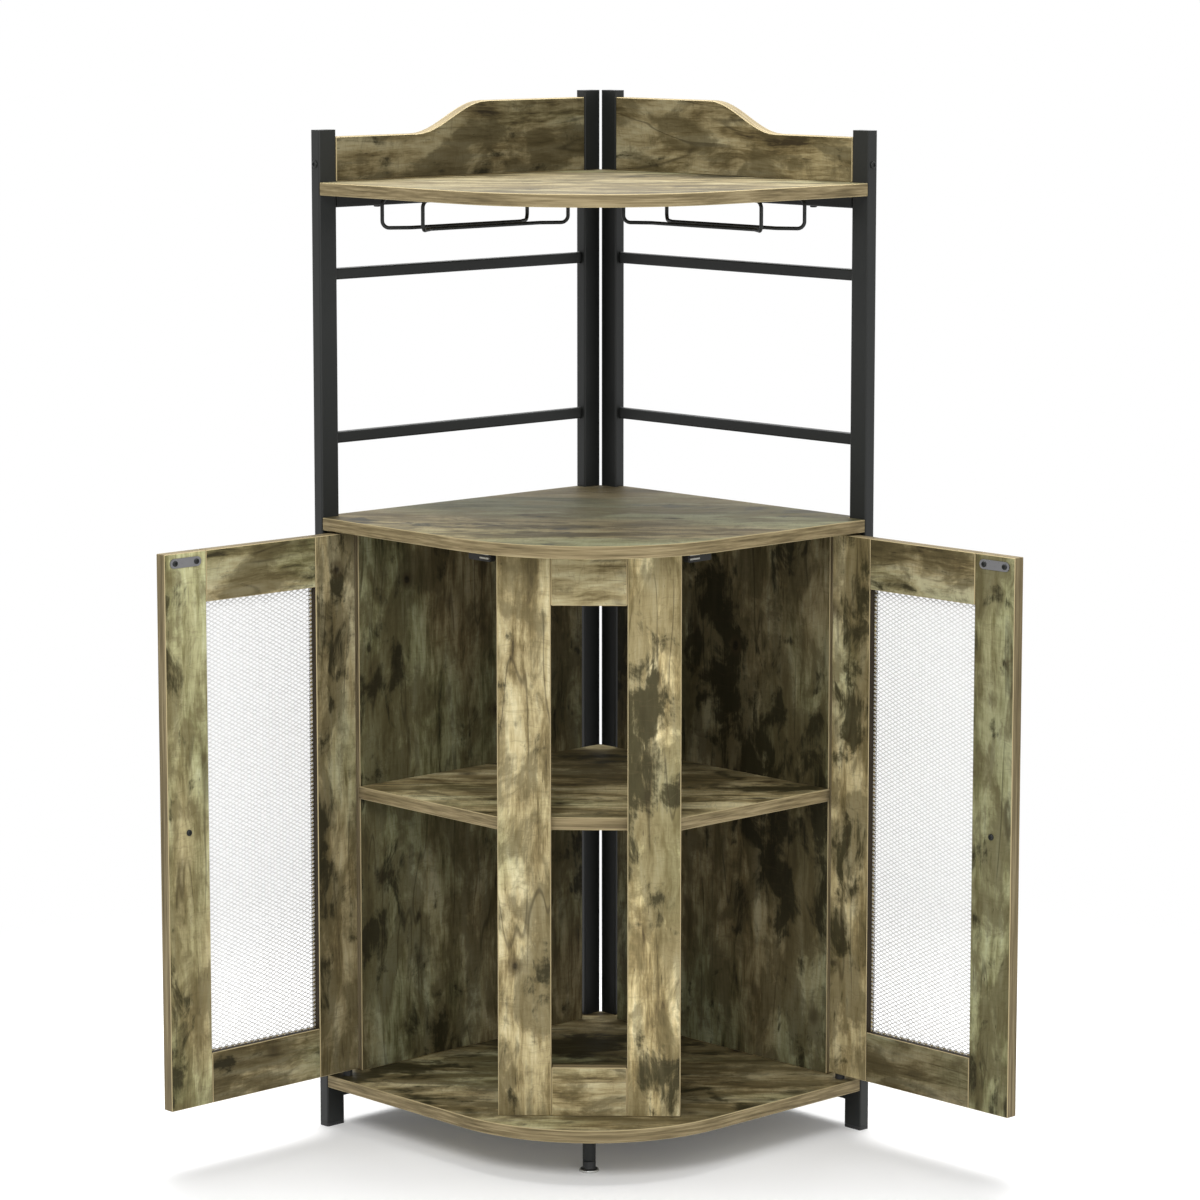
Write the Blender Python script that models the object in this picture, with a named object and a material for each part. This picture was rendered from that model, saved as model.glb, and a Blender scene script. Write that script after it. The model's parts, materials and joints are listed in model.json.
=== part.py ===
"""Corner bar cabinet: two welded tube frames, laminated boards, two pivoted mesh doors.

Wall coordinates: u runs from the room corner along the left wall, v along the right wall,
z is up. The right half is the left half with u and v swapped. The doors stand open.
"""
import math

import bmesh
import bpy
from mathutils import Vector

# Frames, in metres
WALL_LENGTH = 0.500
POST_WIDTH = 0.028
POST_DEPTH = 0.016
TUBE_WALL = 0.0012
TUBE_RADIUS = 0.002
REAR_SLIT = 0.001
BAR_HEIGHT = 0.016
RAIL_HEIGHT = 0.0145
RAIL_DEPTH = 0.010
LOWER_RAIL_RISE = 0.106
UPPER_RAIL_DROP = 0.109
POST_PROUD = 0.009
FOOT_PLATE = 0.004
PLUG_LENGTH = 0.012

# Boards
BOARD = 0.016
BASE_TOP = 0.0685
CABINET_HEIGHT = 0.723
BAY_HEIGHT = 0.422
FRONT_RADIUS = 0.220
PANEL_REAR_GAP = 0.020
PANEL_FRONT_GAP = 0.017
MIDDLE_RISE = 0.3745
MIDDLE_SETBACK = 0.015

# Backsplash
BACK_LOW = 0.056
BACK_HIGH = 0.0955
BACK_CURVE_REAR = 0.218
BACK_CURVE_FRONT = 0.338

# Fixed centre front, square to the diagonal
CENTRE_WIDTH = 0.226
CENTRE_STILE = 0.066
CENTRE_TOP_RAIL = 0.066
CENTRE_BOTTOM_RAIL = 0.062
CENTRE_CLEARANCE = 0.0028

# Doors
DOOR_SETBACK = 0.011
DOOR_STANDOFF = 0.010
DOOR_OVERLAP = 0.0136
PIVOT_INSET = 0.012
DOOR_GAP_TOP = 0.0025
DOOR_GAP_BOTTOM = 0.008
DOOR_STILE = 0.064
DOOR_RAIL = 0.064
MESH_SETBACK = 0.0105
MESH_THICKNESS = 0.001
GROOVE_DEPTH = 0.005
MESH_RIM = 0.004
MESH_STRAND = 0.003
MESH_COLUMNS = 4
MESH_ROWS = 12
PIN_RADIUS = 0.0025
PIN_IN_DOOR = 0.014
BUSH_RADIUS = 0.0045
BUSH_DEPTH = 0.009
BUSH_COLLAR = 0.006
KNOB_RADIUS = 0.011
KNOB_NECK = 0.005
KNOB_LENGTH = 0.022
KNOB_BASE_RADIUS = 0.0077
KNOB_BASE = 0.002
KNOB_SCREW_RADIUS = 0.002
KNOB_SCREW_HEAD = 0.004
KNOB_HEAD_HEIGHT = 0.002
KNOB_SCREW_BITE = 0.009
STRIKE_LENGTH = 0.048
STRIKE_HEIGHT = 0.012
STRIKE_THICKNESS = 0.0012
STRIKE_DROP = 0.006
CATCH_LENGTH = 0.040
CATCH_DEPTH = 0.012
CATCH_HEIGHT = 0.014

# Glass racks under the top shelf
WIRE_RADIUS = 0.0024
RACK_REAR = 0.205
RACK_SETBACK = 0.050
RACK_OUTER = 0.078
RACK_WIDTH = 0.077
RACK_CHANNEL = 0.038
RACK_DROP = 0.040
RACK_FLARE = 0.030
RACK_BEND = 0.009
RACK_FOOT = 0.022

# Centre leg
LEG_SETBACK = 0.061
LEG_RADIUS = 0.0082
LEG_FLANGE_RADIUS = 0.020
LEG_FLANGE = 0.002
GLIDE_RADIUS = 0.0125
GLIDE_RIM = 0.003
GLIDE_SLOPE = 0.003
GLIDE_HEIGHT = 0.014
STEM_RADIUS = 0.004
STEM_CLEARANCE = 0.0145
INSERT_LENGTH = 0.012

# Clearances: between touching pieces, and round a pin that turns or slides
FIT = 0.0003
PLAY = 0.0005

# Fineness of curves, and small lengths used only while cutting and welding
ARC_STEPS = 20
BACK_STEPS = 12
BEND_STEPS = 3
ROUND_SIDES = 12
FINE_SIDES = 20
SHARP_ANGLE = math.radians(35)
CUT_START = 0.001
WELD = 0.00002

SIDES = ("left", "right")
HALF = BOARD / 2
INNER_RADIUS = max(TUBE_RADIUS - TUBE_WALL, FIT)
REAR_END = POST_DEPTH + REAR_SLIT + POST_WIDTH
BAY_FRONT = WALL_LENGTH - POST_WIDTH
COUNTER_TOP = BASE_TOP + CABINET_HEIGHT
SHELF_TOP = COUNTER_TOP + BAY_HEIGHT
COUNTER_UNDER = COUNTER_TOP - BOARD
BASE_UNDER = BASE_TOP - BOARD
SHELF_UNDER = SHELF_TOP - BOARD
PANEL_INNER = POST_DEPTH + FIT + BOARD
FRONT_DIAGONAL = (WALL_LENGTH - FRONT_RADIUS) * math.sqrt(2) + FRONT_RADIUS

# The closed doors pass just in front of the centre front's outer corners and overlap them.
PIVOT_U = WALL_LENGTH - DOOR_SETBACK - HALF
PIVOT_V = POST_DEPTH + DOOR_STANDOFF + HALF
DOOR_INNER = PIVOT_U - HALF
CENTRE_CORNER = DOOR_INNER - CENTRE_CLEARANCE
CENTRE_FRONT = CENTRE_CORNER * math.sqrt(2) - CENTRE_WIDTH / 2
DOOR_REACH = CENTRE_CORNER - CENTRE_WIDTH / math.sqrt(2) + DOOR_OVERLAP - PIVOT_V
DOOR_BOTTOM = BASE_TOP + DOOR_GAP_BOTTOM
DOOR_TOP = COUNTER_UNDER - DOOR_GAP_TOP
MIDDLE_TOP = BASE_TOP + MIDDLE_RISE
MIDDLE_FRONT = DOOR_INNER - MIDDLE_SETBACK

# The open doors reach furthest, so they set the box that the origin is centred in.
CORNER = (PIVOT_U + DOOR_REACH) / 2

# Base colour, roughness and metallic value of each finish
FINISHES = {
    "wood": ((0.235, 0.190, 0.105, 1.0), 0.55, 0.0),
    "black_steel": ((0.018, 0.018, 0.019, 1.0), 0.45, 0.6),
    "black_plastic": ((0.016, 0.016, 0.016, 1.0), 0.60, 0.0),
    "mesh_metal": ((0.78, 0.78, 0.76, 1.0), 0.40, 0.7),
    "bright_metal": ((0.62, 0.62, 0.60, 1.0), 0.30, 1.0),
}


def clear_scene():
    """Remove every object of the scene."""
    for item in list(bpy.data.objects):
        bpy.data.objects.remove(item, do_unlink=True)


def point(u, v, z, side="left"):
    """Return the world point of wall coordinates on one half of the cabinet."""
    if side == "left":
        return Vector((CORNER - u, CORNER - v, z))
    return Vector((CORNER - v, CORNER - u, z))


def on_diagonal(along, across):
    """Return wall coordinates of a point along the diagonal and across it to the left."""
    return (along + across) / math.sqrt(2), (along - across) / math.sqrt(2)


def finish_material(name, finish):
    """Return a new Principled material for one piece."""
    colour, roughness, metallic = FINISHES[finish]
    material = bpy.data.materials.new(name)
    material.use_nodes = True
    shader = material.node_tree.nodes["Principled BSDF"]
    shader.inputs["Base Color"].default_value = colour
    shader.inputs["Roughness"].default_value = roughness
    shader.inputs["Metallic"].default_value = metallic
    return material


def make(name, shape, finish, parent=None):
    """Turn a bmesh in world coordinates into a named object, under a pivot if given."""
    bmesh.ops.recalc_face_normals(shape, faces=shape.faces)
    if parent is not None:
        bmesh.ops.translate(shape, verts=shape.verts, vec=-parent.location)
    mesh = bpy.data.meshes.new(name)
    shape.to_mesh(mesh)
    shape.free()
    mesh.shade_smooth()
    mesh.set_sharp_from_angle(angle=SHARP_ANGLE)
    mesh.materials.append(finish_material(name, finish))
    piece = bpy.data.objects.new(name, mesh)
    piece.parent = parent
    bpy.context.scene.collection.objects.link(piece)
    return piece


def add_prism(shape, loop, vector):
    """Extrude a closed loop of points along a vector."""
    face = shape.faces.new([shape.verts.new(corner) for corner in loop])
    swept = bmesh.ops.extrude_face_region(shape, geom=[face])["geom"]
    moved = [part for part in swept if isinstance(part, bmesh.types.BMVert)]
    bmesh.ops.translate(shape, verts=moved, vec=vector)


def add_tube(shape, outer, inner, vector):
    """Extrude the ring between two loops of equal length along a vector."""
    rims = [[shape.verts.new(corner) for corner in loop] for loop in (outer, inner)]
    count = len(outer)
    ring = []
    for here in range(count):
        after = (here + 1) % count
        ring.append(shape.faces.new((rims[0][here], rims[0][after], rims[1][after], rims[1][here])))
    swept = bmesh.ops.extrude_face_region(shape, geom=ring)["geom"]
    moved = [part for part in swept if isinstance(part, bmesh.types.BMVert)]
    bmesh.ops.translate(shape, verts=moved, vec=vector)


def add_turned(shape, profile, base, axis, sides):
    """Spin a profile of (radius, height) pairs about an axis through a base point."""
    axis = axis.normalized()
    across = axis.orthogonal().normalized()
    turned = bmesh.new()
    path = [turned.verts.new(base + across * radius + axis * height) for radius, height in profile]
    edges = [turned.edges.new(pair) for pair in zip(path, path[1:])]
    bmesh.ops.spin(turned, geom=path + edges, cent=base, axis=axis, angle=2 * math.pi, steps=sides)
    bmesh.ops.remove_doubles(turned, verts=turned.verts, dist=WELD)
    bmesh.ops.recalc_face_normals(turned, faces=turned.faces)
    copied = bpy.data.meshes.new("turned")
    turned.to_mesh(copied)
    turned.free()
    shape.from_mesh(copied)
    bpy.data.meshes.remove(copied)


def rod(radius, length):
    """Return the profile of a plain round rod."""
    return [(0, 0), (radius, 0), (radius, length), (0, length)]


def box_loop(u0, u1, v0, v1, z, side):
    """Return a rectangle of wall coordinates at one height."""
    corners = ((u0, v0), (u1, v0), (u1, v1), (u0, v1))
    return [point(u, v, z, side) for u, v in corners]


def add_box(shape, u_span, v_span, z_span, side):
    """Add an upright block from spans in wall coordinates."""
    loop = box_loop(*u_span, *v_span, z_span[0], side)
    add_prism(shape, loop, Vector((0, 0, z_span[1] - z_span[0])))


def block(name, u_span, v_span, z_span, side, finish, parent=None):
    """Make one block-shaped piece."""
    shape = bmesh.new()
    add_box(shape, u_span, v_span, z_span, side)
    return make(name, shape, finish, parent)


def round_rectangle(width, depth, radius):
    """Return a rectangle centred on zero with each corner rounded by three points."""
    outline = []
    for quarter, (sign_x, sign_y) in enumerate(((1, 1), (-1, 1), (-1, -1), (1, -1))):
        for step in range(3):
            angle = (quarter + step / 2) * math.pi / 2
            outline.append((sign_x * (width / 2 - radius) + radius * math.cos(angle),
                            sign_y * (depth / 2 - radius) + radius * math.sin(angle)))
    return outline


def tube_loops(width, depth):
    """Return the outer and inner outline of a rectangular tube."""
    outer = round_rectangle(width, depth, TUBE_RADIUS)
    inner = round_rectangle(width - 2 * TUBE_WALL, depth - 2 * TUBE_WALL, INNER_RADIUS)
    return outer, inner


def drill(piece, base, axis, radius, depth):
    """Cut a round hole into a piece, from just outside a base point along an axis."""
    shape = bmesh.new()
    outside = base - axis.normalized() * CUT_START
    add_turned(shape, rod(radius, depth + CUT_START), outside, axis, ROUND_SIDES)
    cutter = make("cutter_" + piece.name, shape, "black_plastic")
    cutter.hide_render = True
    cutter.display_type = "WIRE"
    cut = piece.modifiers.new("hole", "BOOLEAN")
    cut.operation = "DIFFERENCE"
    cut.solver = "EXACT"
    cut.object = cutter


# Frames

def post_span(place):
    """Return the u span and the top height of a front or rear post."""
    if place == "front":
        return (BAY_FRONT, WALL_LENGTH), SHELF_TOP + BACK_LOW + POST_PROUD
    return (POST_DEPTH + REAR_SLIT, REAR_END), SHELF_TOP + BACK_HIGH + POST_PROUD


def post_outline(place, side, z, outline):
    """Place a tube outline at a post's centre."""
    span = post_span(place)[0]
    middle = sum(span) / 2
    return [point(middle + along, POST_DEPTH / 2 + across, z, side) for along, across in outline]


def add_skin(shape, loops):
    """Skin a stack of loops of equal length and close both ends."""
    rings = [[shape.verts.new(corner) for corner in loop] for loop in loops]
    for lower, upper in zip(rings, rings[1:]):
        for here in range(len(lower)):
            after = (here + 1) % len(lower)
            shape.faces.new((lower[here], lower[after], upper[after], upper[here]))
    shape.faces.new(rings[0])
    shape.faces.new(rings[-1])


def build_post(place, side):
    """A tube open at the floor, with its top end welded shut."""
    outer, inner = tube_loops(POST_WIDTH, POST_DEPTH)
    top = post_span(place)[1]
    bottom = FOOT_PLATE + FIT
    shape = bmesh.new()
    add_skin(shape, [post_outline(place, side, height, loop) for height, loop in (
        (top - TUBE_WALL, inner), (bottom, inner), (bottom, outer), (top, outer))])
    return make(f"{place}_post_{side}", shape, "black_steel")


def build_foot_cap(place, side):
    """A plastic foot: a plate as wide as the tube, and a plug that sits inside it."""
    outer = round_rectangle(POST_WIDTH, POST_DEPTH, TUBE_RADIUS)
    narrow = 2 * (TUBE_WALL + FIT)
    plug = round_rectangle(POST_WIDTH - narrow, POST_DEPTH - narrow, INNER_RADIUS)
    shape = bmesh.new()
    add_skin(shape, [post_outline(place, side, height, loop) for height, loop in (
        (0, outer), (FOOT_PLATE, outer), (FOOT_PLATE, plug), (FOOT_PLATE + PLUG_LENGTH, plug))])
    return make(f"{place}_foot_cap_{side}", shape, "black_plastic")


def build_bar(name, top, height, depth, side):
    """A tube between the two posts of a frame, flush with the frame's wall side."""
    outer, inner = tube_loops(depth, height)
    start = REAR_END + FIT
    length = BAY_FRONT - FIT - start
    loops = [[point(start, depth / 2 + across, top - height / 2 + up, side) for across, up in loop]
             for loop in (outer, inner)]
    shape = bmesh.new()
    add_tube(shape, *loops, point(length, 0, 0, side) - point(0, 0, 0, side))
    return make(f"{name}_{side}", shape, "black_steel")


def build_frames():
    for side in SIDES:
        for place in ("front", "rear"):
            build_post(place, side)
            build_foot_cap(place, side)
        build_bar("base_bar", BASE_UNDER - FIT, BAR_HEIGHT, POST_DEPTH, side)
        build_bar("counter_bar", COUNTER_UNDER - FIT, BAR_HEIGHT, POST_DEPTH, side)
        build_bar("shelf_bar", SHELF_UNDER - FIT, BAR_HEIGHT, POST_DEPTH, side)
        build_bar("lower_rail", COUNTER_TOP + LOWER_RAIL_RISE, RAIL_HEIGHT, RAIL_DEPTH, side)
        build_bar("upper_rail", SHELF_TOP - UPPER_RAIL_DROP, RAIL_HEIGHT, RAIL_DEPTH, side)


# Boards

def board_outline():
    """Half outline of a notched board, from the room corner to the start of the front arc."""
    inner = POST_DEPTH + FIT
    return [(REAR_END + FIT, inner), (REAR_END + FIT, 0), (BAY_FRONT - FIT, 0), (BAY_FRONT - FIT, inner),
            (WALL_LENGTH, inner)]


def build_board(name, top):
    """A board notched round the four posts, with one big rounded front corner."""
    centre = WALL_LENGTH - FRONT_RADIUS
    half = board_outline()
    corner = (POST_DEPTH + FIT, POST_DEPTH + FIT)
    arc = []
    for step in range(ARC_STEPS + 1):
        angle = math.pi / 2 * step / ARC_STEPS
        arc.append((centre + FRONT_RADIUS * math.cos(angle), centre + FRONT_RADIUS * math.sin(angle)))
    outline = [corner] + half + arc + [(u, v) for v, u in reversed(half)]
    shape = bmesh.new()
    add_prism(shape, [point(u, v, top - BOARD) for u, v in outline], Vector((0, 0, BOARD)))
    return make(name, shape, "wood")


def build_side_panel(side):
    """A panel inside the frame, short of both posts, between the base and the counter."""
    return block(f"side_panel_{side}", (REAR_END + PANEL_REAR_GAP, BAY_FRONT - PANEL_FRONT_GAP),
                 (POST_DEPTH + FIT, PANEL_INNER), (BASE_TOP + FIT, COUNTER_UNDER - FIT), side, "wood")


def build_middle_shelf():
    """A shelf between the side panels, cut flat behind the fixed centre front."""
    inner = PANEL_INNER + FIT
    flat = (CENTRE_FRONT - BOARD - FIT) * math.sqrt(2)
    outline = [(inner, inner), (MIDDLE_FRONT, inner), (MIDDLE_FRONT, flat - MIDDLE_FRONT),
               (flat - MIDDLE_FRONT, MIDDLE_FRONT), (inner, MIDDLE_FRONT)]
    shape = bmesh.new()
    add_prism(shape, [point(u, v, MIDDLE_TOP - BOARD) for u, v in outline], Vector((0, 0, BOARD)))
    return make("middle_shelf", shape, "wood")


def build_backsplash(side):
    """A board between the posts whose top edge rises to the corner in a smooth S."""
    low = SHELF_TOP + BACK_LOW
    rise = BACK_HIGH - BACK_LOW
    rear = REAR_END + FIT
    front = BAY_FRONT - FIT
    outline = [(rear, SHELF_TOP + FIT), (front, SHELF_TOP + FIT), (front, low)]
    for step in range(BACK_STEPS + 1):
        part = step / BACK_STEPS
        u = BACK_CURVE_FRONT + (BACK_CURVE_REAR - BACK_CURVE_FRONT) * part
        outline.append((u, low + rise * (1 - math.cos(math.pi * part)) / 2))
    outline.append((rear, low + rise))
    shape = bmesh.new()
    add_prism(shape, [point(u, 0, z, side) for u, z in outline],
              point(0, BOARD, 0, side) - point(0, 0, 0, side))
    return make(f"backsplash_{side}", shape, "wood")


def centre_block(name, across, z_span):
    """A board of the fixed centre front, given its span across the diagonal."""
    corners = ((CENTRE_FRONT - BOARD, across[0]), (CENTRE_FRONT, across[0]),
               (CENTRE_FRONT, across[1]), (CENTRE_FRONT - BOARD, across[1]))
    loop = [point(*on_diagonal(*corner), z_span[0]) for corner in corners]
    shape = bmesh.new()
    add_prism(shape, loop, Vector((0, 0, z_span[1] - z_span[0])))
    return make(name, shape, "wood")


def build_centre_front():
    bottom = BASE_TOP + FIT
    top = COUNTER_UNDER - FIT
    half = CENTRE_WIDTH / 2
    window = half - CENTRE_STILE
    centre_block("centre_stile_left", (window, half), (bottom, top))
    centre_block("centre_stile_right", (-half, -window), (bottom, top))
    inside = (-window + FIT, window - FIT)
    centre_block("centre_top_rail", inside, (top - CENTRE_TOP_RAIL, top))
    centre_block("centre_bottom_rail", inside, (bottom, bottom + CENTRE_BOTTOM_RAIL))


# Doors, in door coordinates: x from the pivot to the free edge, y towards the inner face

DOOR_START = -PIVOT_INSET
HINGE_EDGE = DOOR_START + DOOR_STILE
FREE_EDGE = DOOR_REACH - DOOR_STILE
WINDOW_BOTTOM = DOOR_BOTTOM + DOOR_RAIL
WINDOW_TOP = DOOR_TOP - DOOR_RAIL
MESH_CENTRE = HALF - MESH_SETBACK
GROOVE_HALF = MESH_THICKNESS / 2 + FIT
STILE_MIDDLE = DOOR_REACH - DOOR_STILE / 2
KNOB_HEIGHT = (DOOR_BOTTOM + DOOR_TOP) / 2


def door_point(x, y, z, side):
    return point(PIVOT_U + x, PIVOT_V + y, z, side)


def door_vector(x, y, z, side):
    return door_point(x, y, z, side) - door_point(0, 0, 0, side)


def grooved_outline(far, edge):
    """Cross-section of a door member from its far edge to a grooved edge at the window."""
    depth = math.copysign(GROOVE_DEPTH, edge - far)
    lower = MESH_CENTRE - GROOVE_HALF
    upper = MESH_CENTRE + GROOVE_HALF
    return [(far, -HALF), (edge, -HALF), (edge, lower), (edge - depth, lower),
            (edge - depth, upper), (edge, upper), (edge, HALF), (far, HALF)]


def build_stile(name, far, edge, side, pivot):
    shape = bmesh.new()
    loop = [door_point(x, y, DOOR_BOTTOM, side) for x, y in grooved_outline(far, edge)]
    add_prism(shape, loop, Vector((0, 0, DOOR_TOP - DOOR_BOTTOM)))
    return make(name, shape, "wood", pivot)


def build_door_rail(name, far, edge, side, pivot):
    shape = bmesh.new()
    start = HINGE_EDGE + FIT
    loop = [door_point(start, y, z, side) for z, y in grooved_outline(far, edge)]
    add_prism(shape, loop, door_vector(FREE_EDGE - FIT - start, 0, 0, side))
    return make(name, shape, "wood", pivot)


def build_mesh(side, pivot):
    """Diamond mesh: a lattice of rhombic cells, each inset to leave strands, then given thickness."""
    reach = GROOVE_DEPTH - FIT
    x0, x1 = HINGE_EDGE - reach, FREE_EDGE + reach
    z0, z1 = WINDOW_BOTTOM - reach, WINDOW_TOP + reach
    rim = reach + MESH_RIM
    step_x = (x1 - x0 - 2 * rim) / (2 * MESH_COLUMNS)
    step_z = (z1 - z0 - 2 * rim) / (2 * MESH_ROWS)
    shape = bmesh.new()
    knots = {}
    places = [(i, j) for i in range(2 * MESH_COLUMNS + 1) for j in range(2 * MESH_ROWS + 1)]
    for i, j in places:
        if (i + j) % 2 == 0:
            place = door_point(x0 + rim + i * step_x, MESH_CENTRE, z0 + rim + j * step_z, side)
            knots[i, j] = shape.verts.new(place)
    cells = []
    for i, j in places:
        if (i + j) % 2 == 1:
            around = [knots.get(key) for key in ((i - 1, j), (i, j - 1), (i + 1, j), (i, j + 1))]
            cells.append(shape.faces.new([knot for knot in around if knot is not None]))
    shape.normal_update()
    bmesh.ops.inset_individual(shape, faces=cells, thickness=MESH_STRAND / 2, use_even_offset=True)
    bmesh.ops.delete(shape, geom=cells, context="FACES")
    rim_edges = [edge for edge in shape.edges if edge.is_boundary and on_mesh_rim(edge, side)]
    widened = bmesh.ops.extrude_edge_only(shape, edges=rim_edges)["geom"]
    centre = door_point((x0 + x1) / 2, MESH_CENTRE, (z0 + z1) / 2, side)
    along = door_vector(1, 0, 0, side)
    for corner in widened:
        if isinstance(corner, bmesh.types.BMVert):
            offset = corner.co - centre
            x = offset.dot(along)
            across = (x1 - x0) / 2
            up = (z1 - z0) / 2
            if abs(abs(x) - (across - rim)) < step_x / 4:
                corner.co += along * math.copysign(rim, x)
            if abs(abs(offset.z) - (up - rim)) < step_z / 4:
                corner.co.z += math.copysign(rim, offset.z)
    back = door_vector(0, -MESH_THICKNESS / 2, 0, side)
    bmesh.ops.translate(shape, verts=shape.verts, vec=back)
    swept = bmesh.ops.extrude_face_region(shape, geom=shape.faces[:])["geom"]
    moved = [part for part in swept if isinstance(part, bmesh.types.BMVert)]
    bmesh.ops.translate(shape, verts=moved, vec=-2 * back)
    return make(f"{side}_door_mesh", shape, "mesh_metal", pivot)


def on_mesh_rim(edge, side):
    """Say whether an edge lies on the outer border of the lattice."""
    middle = sum((corner.co for corner in edge.verts), Vector()) / 2
    offset = middle - door_point(0, 0, 0, side)
    x = offset.dot(door_vector(1, 0, 0, side))
    low_x, high_x = HINGE_EDGE + MESH_RIM, FREE_EDGE - MESH_RIM
    low_z, high_z = WINDOW_BOTTOM + MESH_RIM, WINDOW_TOP - MESH_RIM
    near = MESH_STRAND / 8
    return (min(abs(x - low_x), abs(x - high_x)) < near
            or min(abs(offset.z - low_z), abs(offset.z - high_z)) < near)


def build_knob(side, pivot):
    """A turned knob with a blind hole, and the screw that holds it from the inner face."""
    outward = door_vector(0, -1, 0, side)
    seat = door_point(STILE_MIDDLE, -HALF - FIT, KNOB_HEIGHT, side)
    hole = KNOB_SCREW_RADIUS + FIT
    deep = KNOB_SCREW_BITE + FIT
    profile = [(0, deep), (hole, deep), (hole, 0), (KNOB_BASE_RADIUS, 0), (KNOB_BASE_RADIUS, KNOB_BASE),
               (KNOB_NECK, 2 * KNOB_BASE), (KNOB_NECK, KNOB_LENGTH * 0.5),
               (KNOB_RADIUS * 0.9, KNOB_LENGTH * 0.64),
               (KNOB_RADIUS, KNOB_LENGTH * 0.78), (KNOB_RADIUS * 0.85, KNOB_LENGTH * 0.94),
               (KNOB_RADIUS * 0.5, KNOB_LENGTH), (0, KNOB_LENGTH)]
    shape = bmesh.new()
    add_turned(shape, profile, seat, outward, FINE_SIDES)
    make(f"{side}_door_knob", shape, "black_steel", pivot)
    shape = bmesh.new()
    under_head = door_point(STILE_MIDDLE, HALF + FIT, KNOB_HEIGHT, side)
    length = BOARD + 2 * FIT + KNOB_SCREW_BITE
    screw = [(0, -KNOB_HEAD_HEIGHT), (KNOB_SCREW_HEAD * 0.8, -KNOB_HEAD_HEIGHT), (KNOB_SCREW_HEAD, 0),
             (KNOB_SCREW_RADIUS, 0), (KNOB_SCREW_RADIUS, length), (0, length)]
    add_turned(shape, screw, under_head, outward, ROUND_SIDES)
    make(f"{side}_door_knob_screw", shape, "black_steel", pivot)
    return door_point(STILE_MIDDLE, HALF, KNOB_HEIGHT, side), outward


def build_strike(side, pivot):
    """The steel plate that the catch's magnet holds, flat on the inner face."""
    shape = bmesh.new()
    x0 = STILE_MIDDLE - STRIKE_LENGTH / 2
    y0 = HALF + FIT
    add_box(shape, (PIVOT_U + x0, PIVOT_U + x0 + STRIKE_LENGTH),
            (PIVOT_V + y0, PIVOT_V + y0 + STRIKE_THICKNESS),
            (DOOR_TOP - STRIKE_DROP - STRIKE_HEIGHT, DOOR_TOP - STRIKE_DROP), side)
    return make(f"{side}_door_strike_plate", shape, "black_steel", pivot)


def pivot_seats(side):
    """Yield a name, the board face, the door end and the direction to the board of each pivot."""
    up = Vector((0, 0, 1))
    yield "upper", door_point(0, 0, COUNTER_UNDER, side), door_point(0, 0, DOOR_TOP, side), up
    yield "lower", door_point(0, 0, BASE_TOP, side), door_point(0, 0, DOOR_BOTTOM, side), -up


def build_pivot_pins(side, pivot):
    for place, board, end, towards in pivot_seats(side):
        shape = bmesh.new()
        length = PIN_IN_DOOR + (board - end).length + BUSH_DEPTH - FIT
        add_turned(shape, rod(PIN_RADIUS, length), end - towards * PIN_IN_DOOR, towards, ROUND_SIDES)
        make(f"{side}_door_{place}_pin", shape, "bright_metal", pivot)


def build_pivot_bushes(side):
    """Nylon bushes pressed into the boards, with a collar that keeps the door off the board."""
    bore = PIN_RADIUS + PLAY
    for place, board, end, towards in pivot_seats(side):
        shape = bmesh.new()
        collar = (board - end).length - FIT
        profile = [(bore, -collar), (BUSH_COLLAR, -collar), (BUSH_COLLAR, -FIT), (BUSH_RADIUS, -FIT),
                   (BUSH_RADIUS, BUSH_DEPTH), (bore, BUSH_DEPTH), (bore, -collar)]
        add_turned(shape, profile, board, towards, ROUND_SIDES)
        make(f"{side}_{place}_pivot_bush", shape, "black_plastic")


def build_door(side):
    pivot = bpy.data.objects.new(f"{side}_door_pivot", None)
    pivot.location = door_point(0, 0, 0, side)
    bpy.context.scene.collection.objects.link(pivot)
    hinge_stile = build_stile(f"{side}_door_hinge_stile", DOOR_START, HINGE_EDGE, side, pivot)
    free_stile = build_stile(f"{side}_door_free_stile", DOOR_REACH, FREE_EDGE, side, pivot)
    build_door_rail(f"{side}_door_top_rail", DOOR_TOP, WINDOW_TOP, side, pivot)
    build_door_rail(f"{side}_door_bottom_rail", DOOR_BOTTOM, WINDOW_BOTTOM, side, pivot)
    build_mesh(side, pivot)
    hole, outward = build_knob(side, pivot)
    drill(free_stile, hole, outward, KNOB_SCREW_RADIUS + FIT, BOARD + CUT_START)
    build_strike(side, pivot)
    build_pivot_pins(side, pivot)
    for _, _, end, towards in pivot_seats(side):
        drill(hinge_stile, end, -towards, PIN_RADIUS + FIT, PIN_IN_DOOR + FIT)


def build_catches():
    """Magnetic catches under the counter, where the strike plates land when the doors close."""
    face = DOOR_INNER - STRIKE_THICKNESS - 2 * FIT
    clear = CENTRE_WIDTH / math.sqrt(2) + 4 * FIT
    end = face - CATCH_DEPTH - clear
    for side in SIDES:
        block(f"magnetic_catch_{side}", (face - CATCH_DEPTH, face), (end - CATCH_LENGTH, end),
              (COUNTER_UNDER - FIT - CATCH_HEIGHT, COUNTER_UNDER - FIT), side, "bright_metal")


# Glass racks

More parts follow.
